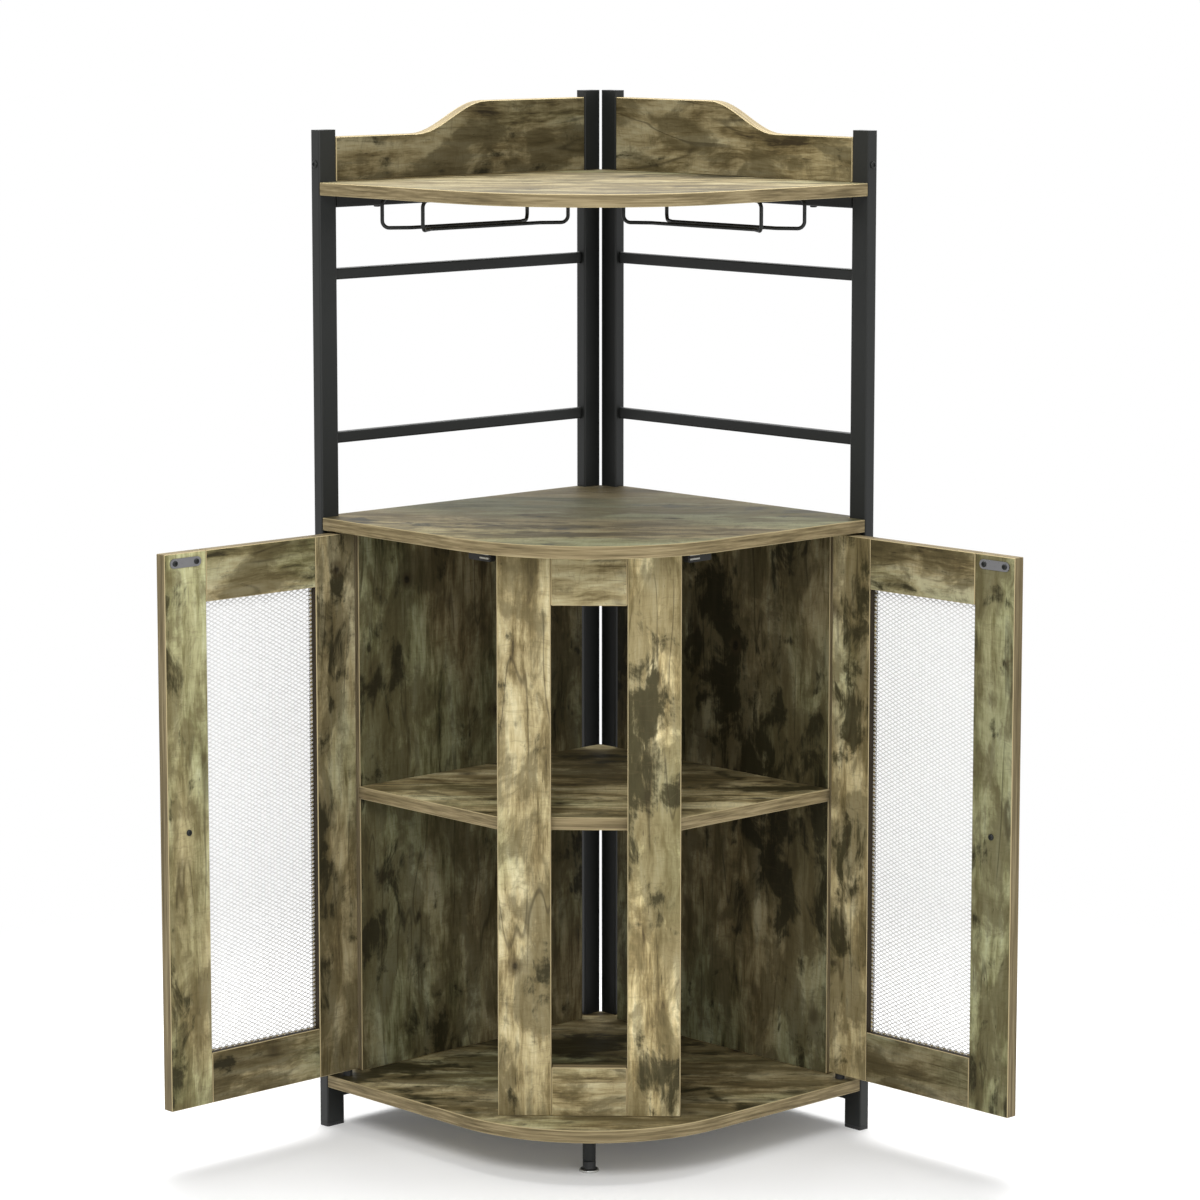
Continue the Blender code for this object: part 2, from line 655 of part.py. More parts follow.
def bend_path(corners):
    """Round each inner corner of a wire's path with short chords of a circle."""
    path = [corners[0]]
    for before, here, after in zip(corners, corners[1:], corners[2:]):
        back = (before - here).normalized()
        on = (after - here).normalized()
        half = back.angle(on) / 2
        reach = RACK_BEND / math.tan(half)
        middle = here + (back + on).normalized() * (RACK_BEND / math.sin(half))
        start = here + back * reach - middle
        finish = here + on * reach - middle
        turn = start.angle(finish)
        for step in range(BEND_STEPS + 1):
            swung = turn * step / BEND_STEPS
            arm = start * math.sin(turn - swung) + finish * math.sin(swung)
            path.append(middle + arm / math.sin(turn))
    path.append(corners[-1])
    return path


def build_rack(side):
    """One wire bent into both rails of a rack: front feet, legs, drawn-in lanes, rear crosspiece."""
    name = f"glass_rack_{side}"
    middle = RACK_OUTER + RACK_WIDTH / 2
    seat = SHELF_UNDER - FIT - WIRE_RADIUS
    low = SHELF_UNDER - RACK_DROP
    front = WALL_LENGTH - RACK_SETBACK
    half = [(front - RACK_FOOT, RACK_WIDTH / 2, seat), (front, RACK_WIDTH / 2, seat),
            (front, RACK_WIDTH / 2, low), (front - RACK_FLARE, RACK_CHANNEL / 2, low),
            (RACK_REAR + RACK_FLARE, RACK_CHANNEL / 2, low), (RACK_REAR, RACK_WIDTH / 2, low),
            (RACK_REAR, RACK_WIDTH / 2, seat)]
    corners = [point(u, middle - across, z, side) for u, across, z in half]
    corners += [point(u, middle + across, z, side) for u, across, z in reversed(half)]
    curve = bpy.data.curves.new(name, "CURVE")
    curve.dimensions = "3D"
    curve.bevel_depth = WIRE_RADIUS
    curve.bevel_resolution = 2
    curve.use_fill_caps = True
    path = bend_path(corners)
    spline = curve.splines.new("POLY")
    spline.points.add(len(path) - 1)
    for knot, place in zip(spline.points, path):
        knot.co = (*place, 1.0)
    curve.materials.append(finish_material(name, "black_steel"))
    wire = bpy.data.objects.new(name, curve)
    bpy.context.scene.collection.objects.link(wire)
    return wire


# Centre leg

def build_front_leg():
    """The centre leg: a flanged tube with a threaded end, and the glide that screws into it."""
    u, v = on_diagonal(FRONT_DIAGONAL - LEG_SETBACK, 0)
    floor = point(u, v, 0)
    up = Vector((0, 0, 1))
    top = BASE_UNDER - FIT
    bottom = GLIDE_HEIGHT + FIT
    bore = LEG_RADIUS - TUBE_WALL
    shape = bmesh.new()
    thread = STEM_RADIUS + PLAY
    shoulder = bottom + INSERT_LENGTH
    profile = [(thread, bottom), (LEG_RADIUS, bottom), (LEG_RADIUS, top - LEG_FLANGE),
               (LEG_FLANGE_RADIUS, top - LEG_FLANGE), (LEG_FLANGE_RADIUS, top), (bore, top),
               (bore, shoulder), (thread, shoulder), (thread, bottom)]
    add_turned(shape, profile, floor, up, FINE_SIDES)
    make("front_leg", shape, "black_steel")
    shape = bmesh.new()
    stem = BASE_UNDER - STEM_CLEARANCE
    profile = [(0, 0), (GLIDE_RADIUS, 0), (GLIDE_RADIUS, GLIDE_RIM), (LEG_RADIUS, GLIDE_RIM + GLIDE_SLOPE),
               (LEG_RADIUS, GLIDE_HEIGHT), (STEM_RADIUS, GLIDE_HEIGHT), (STEM_RADIUS, stem), (0, stem)]
    add_turned(shape, profile, floor, up, FINE_SIDES)
    make("leveller_glide", shape, "black_plastic")


def main():
    clear_scene()
    build_frames()
    base = build_board("base_board", BASE_TOP)
    counter = build_board("counter_board", COUNTER_TOP)
    build_board("top_shelf", SHELF_TOP)
    build_middle_shelf()
    for side in SIDES:
        build_side_panel(side)
        build_backsplash(side)
    build_centre_front()
    for side in SIDES:
        build_door(side)
        for board, (_, seat, _, towards) in zip((counter, base), pivot_seats(side)):
            drill(board, seat, towards, BUSH_RADIUS + FIT, BUSH_DEPTH + FIT)
        build_pivot_bushes(side)
        build_rack(side)
    build_catches()
    build_front_leg()


main()
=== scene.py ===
"""Looks of the corner bar cabinet: wood-look boards, black steel, fine mesh and small fixings."""
import json
import math

import bmesh
import bpy
from mathutils import Matrix, Vector

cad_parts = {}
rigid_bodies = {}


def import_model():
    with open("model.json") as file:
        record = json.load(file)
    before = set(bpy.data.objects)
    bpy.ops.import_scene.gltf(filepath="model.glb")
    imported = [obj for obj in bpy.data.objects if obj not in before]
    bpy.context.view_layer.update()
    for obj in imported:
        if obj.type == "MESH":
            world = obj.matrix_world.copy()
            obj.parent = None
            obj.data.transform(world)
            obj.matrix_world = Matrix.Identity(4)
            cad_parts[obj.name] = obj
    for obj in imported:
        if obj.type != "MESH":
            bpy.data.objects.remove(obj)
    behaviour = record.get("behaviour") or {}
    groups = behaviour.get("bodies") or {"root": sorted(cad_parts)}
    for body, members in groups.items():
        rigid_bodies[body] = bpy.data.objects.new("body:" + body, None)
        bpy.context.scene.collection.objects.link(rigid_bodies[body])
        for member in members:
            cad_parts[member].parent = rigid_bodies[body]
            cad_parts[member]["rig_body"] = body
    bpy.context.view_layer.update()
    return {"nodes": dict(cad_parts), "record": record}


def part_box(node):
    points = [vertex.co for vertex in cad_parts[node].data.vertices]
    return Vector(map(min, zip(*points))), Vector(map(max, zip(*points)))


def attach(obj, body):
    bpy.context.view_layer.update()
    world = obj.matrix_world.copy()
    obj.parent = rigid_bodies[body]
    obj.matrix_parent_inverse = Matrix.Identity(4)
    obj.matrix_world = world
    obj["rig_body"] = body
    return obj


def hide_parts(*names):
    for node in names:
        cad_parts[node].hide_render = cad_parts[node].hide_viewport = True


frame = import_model()
NODES = frame["nodes"]
SCENE = bpy.context.scene

# Directions: up, across the front, towards the room's corner, and for each side along its wall and in from it
UP = Vector((0, 0, 1))
ACROSS_FRONT = Vector((1, -1, 0)).normalized()
TOWARDS_CORNER = Vector((1, 1, 0)).normalized()
WALLS = {
    "left": (Vector((-1, 0, 0)), Vector((0, -1, 0))),
    "right": (Vector((0, -1, 0)), Vector((-1, 0, 0))),
}

# Clearance that touching solids keep, and the distance under which points are one
CLEAR = 0.0003
MERGE = 0.00001

# Camera, fitted to the object's corners in the photograph: millimetres, metres and radians
SENSOR_WIDTH = 36.0
LENS = 126.2672
SHIFT = -0.04
CAMERA_PLACE = (-3.48224, -3.69260, 1.49364)
CAMERA_HEADING = math.radians(45) + 0.026718
CAMERA_PITCH = 0.140718


def add_camera():
    """Stand the camera in front of the cabinet, looking slightly down."""
    data = bpy.data.cameras.new("camera")
    data.sensor_width = SENSOR_WIDTH
    data.lens = LENS
    data.shift_y = SHIFT
    camera = bpy.data.objects.new("camera", data)
    camera.location = CAMERA_PLACE
    ahead = Vector((math.cos(CAMERA_HEADING), math.sin(CAMERA_HEADING), 0))
    look = ahead * math.cos(CAMERA_PITCH) - UP * math.sin(CAMERA_PITCH)
    camera.rotation_mode = "QUATERNION"
    camera.rotation_quaternion = look.to_track_quat("-Z", "Y")
    SCENE.collection.objects.link(camera)
    SCENE.camera = camera


# Node helpers

class Shader:
    """A material's node tree, with short ways to add nodes and link them."""

    def __init__(self, name):
        self.material = bpy.data.materials.new(name)
        self.material.use_nodes = True
        self.tree = self.material.node_tree
        self.surface = self.tree.nodes["Principled BSDF"]
        coords = self.tree.nodes.new("ShaderNodeTexCoord")
        self.spot = coords.outputs["Object"]
        self.normal = coords.outputs["Normal"]

    def put(self, target, value):
        """Link a socket to an input, or set the input to a plain value."""
        if hasattr(value, "is_output"):
            self.tree.links.new(value, target)
        else:
            target.default_value = value

    def feed(self, name, value):
        """Put a value into one of the surface's own inputs."""
        self.put(self.surface.inputs[name], value)

    def node(self, kind, inputs, output=0, **settings):
        """Add a node with its settings and inputs, and return one of its outputs."""
        made = self.tree.nodes.new(kind)
        for key, value in settings.items():
            setattr(made, key, value)
        for key, value in inputs.items():
            self.put(made.inputs[key], value)
        return made.outputs[output]

    def math(self, operation, a, b=0.0, c=0.0):
        """Work out a number from up to three others."""
        return self.node("ShaderNodeMath", {0: a, 1: b, 2: c}, operation=operation)

    def vector(self, operation, a, b=(0, 0, 0), output=0):
        """Work out a vector from two others; output 1 is a plain number."""
        return self.node("ShaderNodeVectorMath", {0: a, 1: b}, output, operation=operation)

    def noise(self, where, detail=2.0, roughness=0.5, distortion=0.0, output=0):
        """A noise of one repeat per unit of the given place; output 1 is its colour."""
        inputs = {"Vector": where, "Scale": 1.0, "Detail": detail, "Roughness": roughness,
                  "Distortion": distortion}
        return self.node("ShaderNodeTexNoise", inputs, output)

    def even_noise(self, repeat, detail=2.0, roughness=0.5):
        """A noise with the same repeat per metre in every direction."""
        return self.noise(self.vector("MULTIPLY", self.spot, (repeat, repeat, repeat)), detail, roughness)

    def ramp(self, value, low, high, start=0.0, end=1.0):
        """A smooth step from start to end as the value goes from low to high."""
        inputs = {"Value": value, 1: low, 2: high, 3: start, 4: end}
        return self.node("ShaderNodeMapRange", inputs, interpolation_type="SMOOTHSTEP")

    def scale(self, colour, amount):
        """Make a colour lighter or darker."""
        return self.node("ShaderNodeVectorMath", {0: colour, "Scale": amount}, operation="SCALE")

    def mix(self, factor, a, b):
        """Blend two colours."""
        return self.node("ShaderNodeMix", {0: factor, 6: a, 7: b}, 2, data_type="RGBA")

    def colours(self, value, stops):
        """Turn a value into a colour by stops of (place, colour)."""
        made = self.tree.nodes.new("ShaderNodeValToRGB")
        steps = made.color_ramp.elements
        while len(steps) < len(stops):
            steps.new(0.5)
        for step, (place, colour) in zip(steps, stops):
            step.position = place
            step.color = colour
        self.put(made.inputs[0], value)
        return made.outputs[0]

    def bump(self, height, strength, distance):
        """Give the surface a fine relief."""
        inputs = {"Strength": strength, "Distance": distance, "Height": height}
        self.feed("Normal", self.node("ShaderNodeBump", inputs))


def rgb(*display):
    """Return the linear colour, with full alpha, of display values from 0 to 255."""
    return (*(((part / 255 + 0.055) / 1.055) ** 2.4 for part in display), 1.0)


# Wood-look laminate: how often each mark repeats in a metre, along the grain and across it
CLOUDS = (11.0, 40.0)
WIDE_GRAIN = (2.6, 24.0)
MIDDLE_GRAIN = (9.0, 120.0)
FINE_GRAIN = (30.0, 460.0)
CLUSTERS = (3.2, 6.5)
GREEN_CAST = (2.2, 6.0)
SAW_MARKS = (280.0, 14.0)
ZONES = (1.6, 3.0)
PATCHES = (12.0, 21.0)
STAINS = (17.0, 25.0)
KNOTS = (11.0, 14.0)
VEINS = (3.2, 27.0)
VEIN_AREAS = (9.0, 12.0)
CHECKS = (52.0, 420.0)
HAIRLINES = (70.0, 13.0)

# Edge banding: repeats in a metre along, across and through the board
BANDING = (9.0, 24.0, 340.0)

# How the marks sway: repeats in a metre, and reach in metres along, across and through the board
SWAY = (7.0, 11.0)
SWAY_REACH = (0.030, 0.016, 0.016)

# Where each board's print starts, and offsets that keep marks of like repeat apart
FIRST_SEED, SEED_STEP = 3.1, 5.7
SEED_SPREAD = (1.37, 2.11, 0.73)
PATCH_OFFSET = (2.7, 5.1, 8.3)
STAIN_OFFSET = (7.3, 1.9, 4.4)
VEIN_AREA_OFFSET = (3.3, 6.1, 2.9)

# Shares of each layer in the ground (clouds, wide, middle, fine), in the patches and in the stains
GRAIN_SHARES = (0.80, 0.55, 0.43, 0.22)
PATCH_SHARES = (1.0, 0.5, 0.30)
STAIN_SHARES = (1.0, 1.0, 0.26, 0.16)

# Ramps: the values where a mark begins and ends, then its strength at each, where that isn't 0 and 1
SAW_RAMP = (0.32, 0.68, 0.95, 1.04)
ZONE_RAMP = (0.36, 0.64, 0.82, 1.10)
HALO_RAMP = (0.09, 0.19, 0.62, 0.0)
EYE_RAMP = (0.035, 0.095, 0.88, 0.0)
VEIN_AREA_RAMP = (0.46, 0.60)
CHECK_RAMP = (0.69, 0.75, 0.0, 0.6)
REVEAL_RAMP = (0.75, 0.85)
FACE_RAMP = (0.80, 0.90)
CORNER_RAMP = (0.45, 0.55)
ROUGH_RAMP = (0.3, 0.7, 0.48, 0.64)

# Ramps that begin sooner the more of a mark a board has: begin, end, shift and strength
OLIVE_SPREAD = (0.66, 0.84, 0.5, 1.0)
PATCH_SPREAD = (0.05, 0.19, 0.16, 0.70)
STAIN_SPREAD = (0.26, 0.40, 0.24, 0.92)

# Thin lines: full within the first distance, gone at the second, and their strength
VEIN_LINE = (0.002, 0.018, 0.55)
HAIR_LINE = (0.0, 0.016, 0.22)

# Share of the grid's cells that have no knot, and strength of the pale line on corners, which is partly the
# banding's seam and partly a painted highlight
NO_KNOT = 0.50
CORNER_SEAM_AND_HIGHLIGHT_STRENGTH = 0.8

# Gloss of the laminate, how much smoother a stain is, and the relief of fine grain, middle grain and checks
WOOD_GLOSS = 0.14
STAIN_SMOOTHER = -0.06
FINE_RELIEF, MIDDLE_RELIEF, CHECK_RELIEF = 0.7, 0.5, -0.5
RELIEF_STRENGTH, RELIEF_DEPTH = 0.25, 0.0005

# Colours of the print
WARM_TONES = ((0.32, rgb(67, 57, 37)), (0.43, rgb(133, 118, 81)), (0.53, rgb(182, 167, 125)),
              (0.64, rgb(208, 197, 157)))
OLIVE_TONES = ((0.32, rgb(62, 60, 38)), (0.43, rgb(126, 122, 84)), (0.53, rgb(171, 170, 128)),
               (0.64, rgb(195, 197, 158)))
BAND_TONES = ((0.32, rgb(104, 92, 66)), (0.50, rgb(140, 125, 92)), (0.66, rgb(170, 154, 118)))
PATCH = rgb(93, 83, 54)
STAIN_DARK, STAIN_PALE = rgb(26, 24, 12), rgb(62, 57, 33)
KNOT_HALO, KNOT_EYE = rgb(76, 64, 41), rgb(27, 22, 12)
VEIN, CHECK, HAIRLINE = rgb(52, 44, 27), rgb(54, 45, 29), rgb(88, 76, 52)
# The first colour on the next line is painted shade for a board's side that faces a door's window; the second
# is a pale corner line, partly the banding's seam and partly a painted highlight
WINDOW_SIDE_SHADE, CORNER_SEAM_AND_HIGHLIGHT = rgb(44, 36, 24), rgb(186, 170, 130)

# How light the edge banding is on the doors and on the case
DOOR_BAND, CASE_BAND = 0.70, 0.88

# Boards with painted shade, darker towards the back where the board above shades them: from and to in metres
# ahead of the centre, and the tone at each
PAINTED_SHADE_TO_BACK = {"counter_board": (-0.36, 0.05, 0.32, 1.32), "middle_shelf": (-0.40, -0.05, 0.80, 1.15)}

# Print of each board: how light it is, how much dark patina it has, how green it leans and its contrast
PRINTS = {
    "top_shelf": (0.50, 0.50, 0.3, 0.75),
    "counter_board": (0.76, 0.46, 0.5, 0.62),
    "base_board": (0.80, 1.00, 0.3, 0.9),
    "middle_shelf": (1.06, 0.72, 0.3, 0.85),
    "backsplash_left": (0.40, 0.90, 0.3, 0.9),
    "backsplash_right": (0.66, 0.72, 0.2, 0.9),
    "side_panel_left": (0.57, 0.88, 0.5, 0.80),
    "side_panel_right": (0.52, 0.80, 0.5, 0.75),
    "centre_stile_left": (0.97, 0.98, 0.3, 0.8),
    "centre_stile_right": (1.31, 0.98, 0.3, 0.8),
    "centre_top_rail": (0.74, 0.60, 0.3, 0.9),
    "centre_bottom_rail": (1.02, 0.95, 0.3, 0.9),
    "left_door_hinge_stile": (0.64, 0.72, 0.15, 0.7),
    "left_door_free_stile": (1.25, 0.70, 0.8, 0.65),
    "left_door_top_rail": (0.78, 0.60, 0.5, 0.9),
    "left_door_bottom_rail": (0.59, 0.85, 0.5, 1.0),
    "right_door_hinge_stile": (1.00, 0.50, 0.05, 0.7),
    "right_door_free_stile": (0.78, 0.68, 0.7, 0.65),
    "right_door_top_rail": (0.68, 0.75, 0.5, 1.0),
    "right_door_bottom_rail": (0.56, 0.78, 0.5, 0.8),
}


class Wood(Shader):
    """A rustic printed laminate, whose marks run along the board's grain."""

    def __init__(self, name, grain, thickness, seed):
        super().__init__(name)
        turn = Matrix((grain, thickness.cross(grain), thickness)).to_euler()
        offset = tuple(seed * share for share in SEED_SPREAD)
        turned = {"Vector": self.spot, "Rotation": turn, "Location": offset}
        self.straight = self.node("ShaderNodeMapping", turned)
        sway = self.noise(self.along(self.straight, SWAY), detail=3.0, roughness=0.55, output=1)
        sway = self.vector("SUBTRACT", sway, (0.5, 0.5, 0.5))
        self.swayed = self.vector("ADD", self.straight, self.vector("MULTIPLY", sway, SWAY_REACH))
        self.clouds = self.noise(self.at(CLOUDS), detail=6.0, roughness=0.64, distortion=0.3)
        self.wide = self.noise(self.at(WIDE_GRAIN), detail=3.0)
        self.middle = self.noise(self.at(MIDDLE_GRAIN), detail=4.0, roughness=0.6)
        self.fine = self.noise(self.at(FINE_GRAIN), detail=3.0, roughness=0.6)
        self.cluster = self.noise(self.at(CLUSTERS))

    def along(self, place, repeat):
        """Scale a place so that a noise repeats as often as given along the grain and across it."""
        return self.vector("MULTIPLY", place, (repeat[0], repeat[1], repeat[1]))

    def at(self, repeat, offset=None):
        """Return the swayed place at a repeat, moved so that two marks of like repeat differ."""
        place = self.along(self.swayed, repeat)
        return place if offset is None else self.vector("ADD", place, offset)

    def blend(self, *parts):
        """Add up shares of values that swing about a half."""
        total = 0.0
        for share, value in parts:
            total = self.math("MULTIPLY_ADD", self.math("SUBTRACT", value, 0.5), share, total)
        return total

    def spread(self, value, amount, begin, end, shift, strength):
        """A ramp that begins sooner, and so covers more, the greater the amount."""
        return self.ramp(value, begin - shift * amount, end - shift * amount, 0.0, strength)

    def contour(self, value, low, high, strength):
        """Draw a thin line where a noise passes a half."""
        return self.ramp(self.math("ABSOLUTE", self.math("SUBTRACT", value, 0.5)), low, high, strength, 0.0)

    def grain(self, green, contrast):
        """Return the print's ground: warm and olive tones, fine saw marks and paler zones."""
        layers = (self.clouds, self.wide, self.middle, self.fine)
        tone = self.math("MULTIPLY_ADD", self.blend(*zip(GRAIN_SHARES, layers)), contrast, 0.5)
        olive = self.spread(self.noise(self.at(GREEN_CAST)), green, *OLIVE_SPREAD)
        colour = self.mix(olive, self.colours(tone, WARM_TONES), self.colours(tone, OLIVE_TONES))
        saw = self.ramp(self.noise(self.at(SAW_MARKS)), *SAW_RAMP)
        zone = self.ramp(self.noise(self.at(ZONES), detail=1.0), *ZONE_RAMP)
        return self.scale(colour, self.math("MULTIPLY", saw, zone))

    def shade_to_back(self, colour, start, end, back_tone, front_tone):
        """Paint shade on a board: darker towards the back, paler towards the front."""
        ahead = self.vector("DOT_PRODUCT", self.spot, tuple(-TOWARDS_CORNER), 1)
        return self.scale(colour, self.ramp(ahead, start, end, back_tone, front_tone))

    def patina(self, colour, amount):
        """Lay grey-brown patches and then dark stains on the ground, both gathered in clusters."""
        patches = self.noise(self.at(PATCHES, PATCH_OFFSET), detail=6.0, roughness=0.62, distortion=0.4)
        patch = self.blend(*zip(PATCH_SHARES, (patches, self.cluster, self.middle)))
        colour = self.mix(self.spread(patch, amount, *PATCH_SPREAD), colour, PATCH)
        stains = self.noise(self.at(STAINS, STAIN_OFFSET), detail=7.0, roughness=0.62, distortion=0.5)
        stain = self.blend(*zip(STAIN_SHARES, (stains, self.cluster, self.middle, self.fine)))
        self.stain = self.spread(stain, amount, *STAIN_SPREAD)
        return self.mix(self.stain, colour, self.mix(self.clouds, STAIN_DARK, STAIN_PALE))

    def knots(self, colour):
        """Draw knots, each with a brown halo and a dark eye, in some of the cells of a grid."""
        cells = self.tree.nodes.new("ShaderNodeTexVoronoi")
        self.put(cells.inputs["Vector"], self.at(KNOTS))
        cells.inputs["Scale"].default_value = 1.0
        distance = cells.outputs["Distance"]
        chance = self.node("ShaderNodeSeparateColor", {0: cells.outputs["Color"]})
        chosen = self.math("GREATER_THAN", chance, NO_KNOT)
        halo = self.math("MULTIPLY", chosen, self.ramp(distance, *HALO_RAMP))
        eye = self.math("MULTIPLY", chosen, self.ramp(distance, *EYE_RAMP))
        return self.mix(eye, self.mix(halo, colour, KNOT_HALO), KNOT_EYE)

    def veins(self, colour):
        """Draw dark veins that flow along the grain, in some areas only."""
        flow = self.noise(self.along(self.straight, VEINS), detail=1.5, distortion=0.25)
        area = self.ramp(self.noise(self.at(VEIN_AREAS, VEIN_AREA_OFFSET)), *VEIN_AREA_RAMP)
        return self.mix(self.math("MULTIPLY", self.contour(flow, *VEIN_LINE), area), colour, VEIN)

    def cracks(self, colour):
        """Draw short checks along the grain and hairline cracks across it."""
        self.checks = self.ramp(self.noise(self.at(CHECKS)), *CHECK_RAMP)
        colour = self.mix(self.checks, colour, CHECK)
        hair = self.contour(self.noise(self.at(HAIRLINES), distortion=0.6), *HAIR_LINE)
        return self.mix(hair, colour, HAIRLINE)

    def edges(self, colour, thickness, band_tone, reveal):
        """Add banding on the narrow sides, painted shade on the side in a window, and a pale line on the
        corners that is partly the banding's seam and partly a painted highlight.
        """
        facing = self.math("ABSOLUTE", self.vector("DOT_PRODUCT", self.normal, tuple(thickness), 1))
        strip = self.noise(self.vector("MULTIPLY", self.straight, BANDING), detail=4.0, roughness=0.62)
        band = self.scale(self.colours(strip, BAND_TONES), band_tone)
        if reveal is not None:
            # Painted shade: the side that faces the window is made near black
            window_side_shade = self.ramp(self.vector("DOT_PRODUCT", self.normal, tuple(reveal), 1), *REVEAL_RAMP)
            band = self.mix(window_side_shade, band, WINDOW_SIDE_SHADE)
        on_face = self.ramp(facing, *FACE_RAMP)
        off_face = self.ramp(facing, *FACE_RAMP, 1.0, 0.0)
        # Pale line on the eased corners: partly the banding's seam, partly a painted highlight
        on_corner = self.math("MULTIPLY", self.ramp(facing, *CORNER_RAMP), off_face)
        colour = self.mix(on_face, band, colour)
        return self.mix(self.math("MULTIPLY", on_corner, CORNER_SEAM_AND_HIGHLIGHT_STRENGTH), colour, CORNER_SEAM_AND_HIGHLIGHT)

    def finish(self, colour):
        """Give the surface its colour, its low gloss and the relief of the grain."""
        self.feed("Base Color", colour)
        self.feed("Specular IOR Level", WOOD_GLOSS)
        rough = self.ramp(self.fine, *ROUGH_RAMP)
        self.feed("Roughness", self.math("MULTIPLY_ADD", self.stain, STAIN_SMOOTHER, rough))
        relief = self.math("MULTIPLY", self.middle, MIDDLE_RELIEF)
        relief = self.math("MULTIPLY_ADD", self.fine, FINE_RELIEF, relief)
        relief = self.math("MULTIPLY_ADD", self.checks, CHECK_RELIEF, relief)
        self.bump(relief, RELIEF_STRENGTH, RELIEF_DEPTH)


def wood(name, grain, thickness, seed, light, patina, green, contrast, reveal):
    """Return the printed laminate of one board."""
    board = Wood(name, grain, thickness, seed)
    colour = board.grain(green, contrast)
    # Painted shade: the counter and middle shelf are made darker towards the back
    if name in PAINTED_SHADE_TO_BACK:
        colour = board.shade_to_back(colour, *PAINTED_SHADE_TO_BACK[name])
    colour = board.patina(colour, patina)
    colour = board.knots(colour)
    colour = board.veins(colour)
    colour = board.cracks(colour)
    colour = board.scale(colour, light)
    band_tone = DOOR_BAND if "_door_" in name else CASE_BAND
    board.finish(board.edges(colour, thickness, band_tone, reveal))
    return board.material


# Metals and plastic: shades, repeats of their grain in a metre, gloss, and strength and depth of the relief

COAT_SHADES = (0.0090, 0.0102, 0.0094, 1.0), (0.0140, 0.0154, 0.0143, 1.0)
COAT_PEEL, COAT_CLOUDS = 900, 14
COAT_GLOSS = 0.36
COAT_ROUGHNESS = (0.38, 0.50)
COAT_RELIEF = (0.12, 0.0002)
PLASTIC_SHADES = (0.012, 0.012, 0.012, 1.0), (0.019, 0.019, 0.019, 1.0)
PLASTIC_GRAIN = 1500
PLASTIC_ROUGHNESS = (0.50, 0.66)
PLASTIC_RELIEF = (0.10, 0.0002)
PLATE_CLOUDS = 160
PLATE_DIM = 0.86
NOISE_SWING = (0.3, 0.7)


def powder_coat(name):
    """Black powder coat with a fine orange peel."""
    shader = Shader(name)
    peel = shader.even_noise(COAT_PEEL)
    cloud = shader.even_noise(COAT_CLOUDS, detail=3.0)
    shader.feed("Base Color", shader.mix(cloud, *COAT_SHADES))
    shader.feed("Specular IOR Level", COAT_GLOSS)
    shader.feed("Roughness", shader.ramp(peel, *NOISE_SWING, *COAT_ROUGHNESS))
    shader.bump(peel, *COAT_RELIEF)
    return shader.material


def moulded(name):
    """Black plastic with a fine moulded grain."""
    shader = Shader(name)
    grain = shader.even_noise(PLASTIC_GRAIN, roughness=0.6)
    shader.feed("Base Color", shader.mix(grain, *PLASTIC_SHADES))
    shader.feed("Roughness", shader.ramp(grain, *NOISE_SWING, *PLASTIC_ROUGHNESS))
    shader.bump(grain, *PLASTIC_RELIEF)
    return shader.material


def zinc(name, colour=(0.60, 0.60, 0.58), roughness=(0.26, 0.42), metallic=1.0):
    """Plated steel, slightly clouded."""
    shader = Shader(name)
    cloud = shader.even_noise(PLATE_CLOUDS, detail=4.0, roughness=0.6)
    dim = tuple(PLATE_DIM * part for part in colour)
    shader.feed("Base Color", shader.mix(cloud, (*dim, 1.0), (*colour, 1.0)))
    shader.feed("Roughness", shader.ramp(cloud, *NOISE_SWING, *roughness))
    shader.feed("Metallic", metallic)
    return shader.material


# Pieces: points round a turned one, and in degrees the bends that stay smooth and the least sharp edge

ROUND = 48
SMOOTH, BOARD_SMOOTH, MESH_SMOOTH, WELD_SMOOTH = 35, 25, 30, 60
SHARP_EDGE = 40


def span(node):
    """Return a solid's centre and size at rest."""
    low, high = (Vector(corner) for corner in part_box(node))
    return (low + high) / 2, high - low


def add_piece(name, shape, material, body, angle=SMOOTH):
    """Turn a bmesh in world coordinates into a piece that rides on a body."""
    bmesh.ops.recalc_face_normals(shape, faces=shape.faces)
    mesh = bpy.data.meshes.new(name)
    shape.to_mesh(mesh)
    shape.free()
    mesh.shade_smooth()
    mesh.set_sharp_from_angle(angle=math.radians(angle))
    mesh.materials.append(material)
    piece = bpy.data.objects.new(name, mesh)
    SCENE.collection.objects.link(piece)
    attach(piece, body)
    return piece


def stand_in(node, ending, shape, material, angle=SMOOTH):
    """Add a piece that rides on a solid's body and is shown instead of the solid."""
    piece = add_piece(f"{node}.{ending}", shape, material, NODES[node]["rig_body"], angle)
    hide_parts(node)


def join(shape, rings):
    """Skin rings of points; a ring of one point closes an end."""
    for low, high in zip(rings, rings[1:]):
        count = max(len(low), len(high))
        for here in range(count):
            after = (here + 1) % count
            corners = [low[here % len(low)], low[after % len(low)]]
            corners += [high[after % len(high)], high[here % len(high)]]
            shape.faces.new(dict.fromkeys(corners))


def ring(shape, centre, axis, radius, steps=ROUND):
    """Add a ring of points about an axis; the radius may be a function of the angle."""
    side = axis.orthogonal().normalized()
    across = axis.normalized().cross(side)
    corners = []
    for step in range(steps):
        angle = 2 * math.pi * step / steps
        reach = radius(angle) if callable(radius) else radius
        corners.append(shape.verts.new(centre + (side * math.cos(angle) + across * math.sin(angle)) * reach))
    return corners


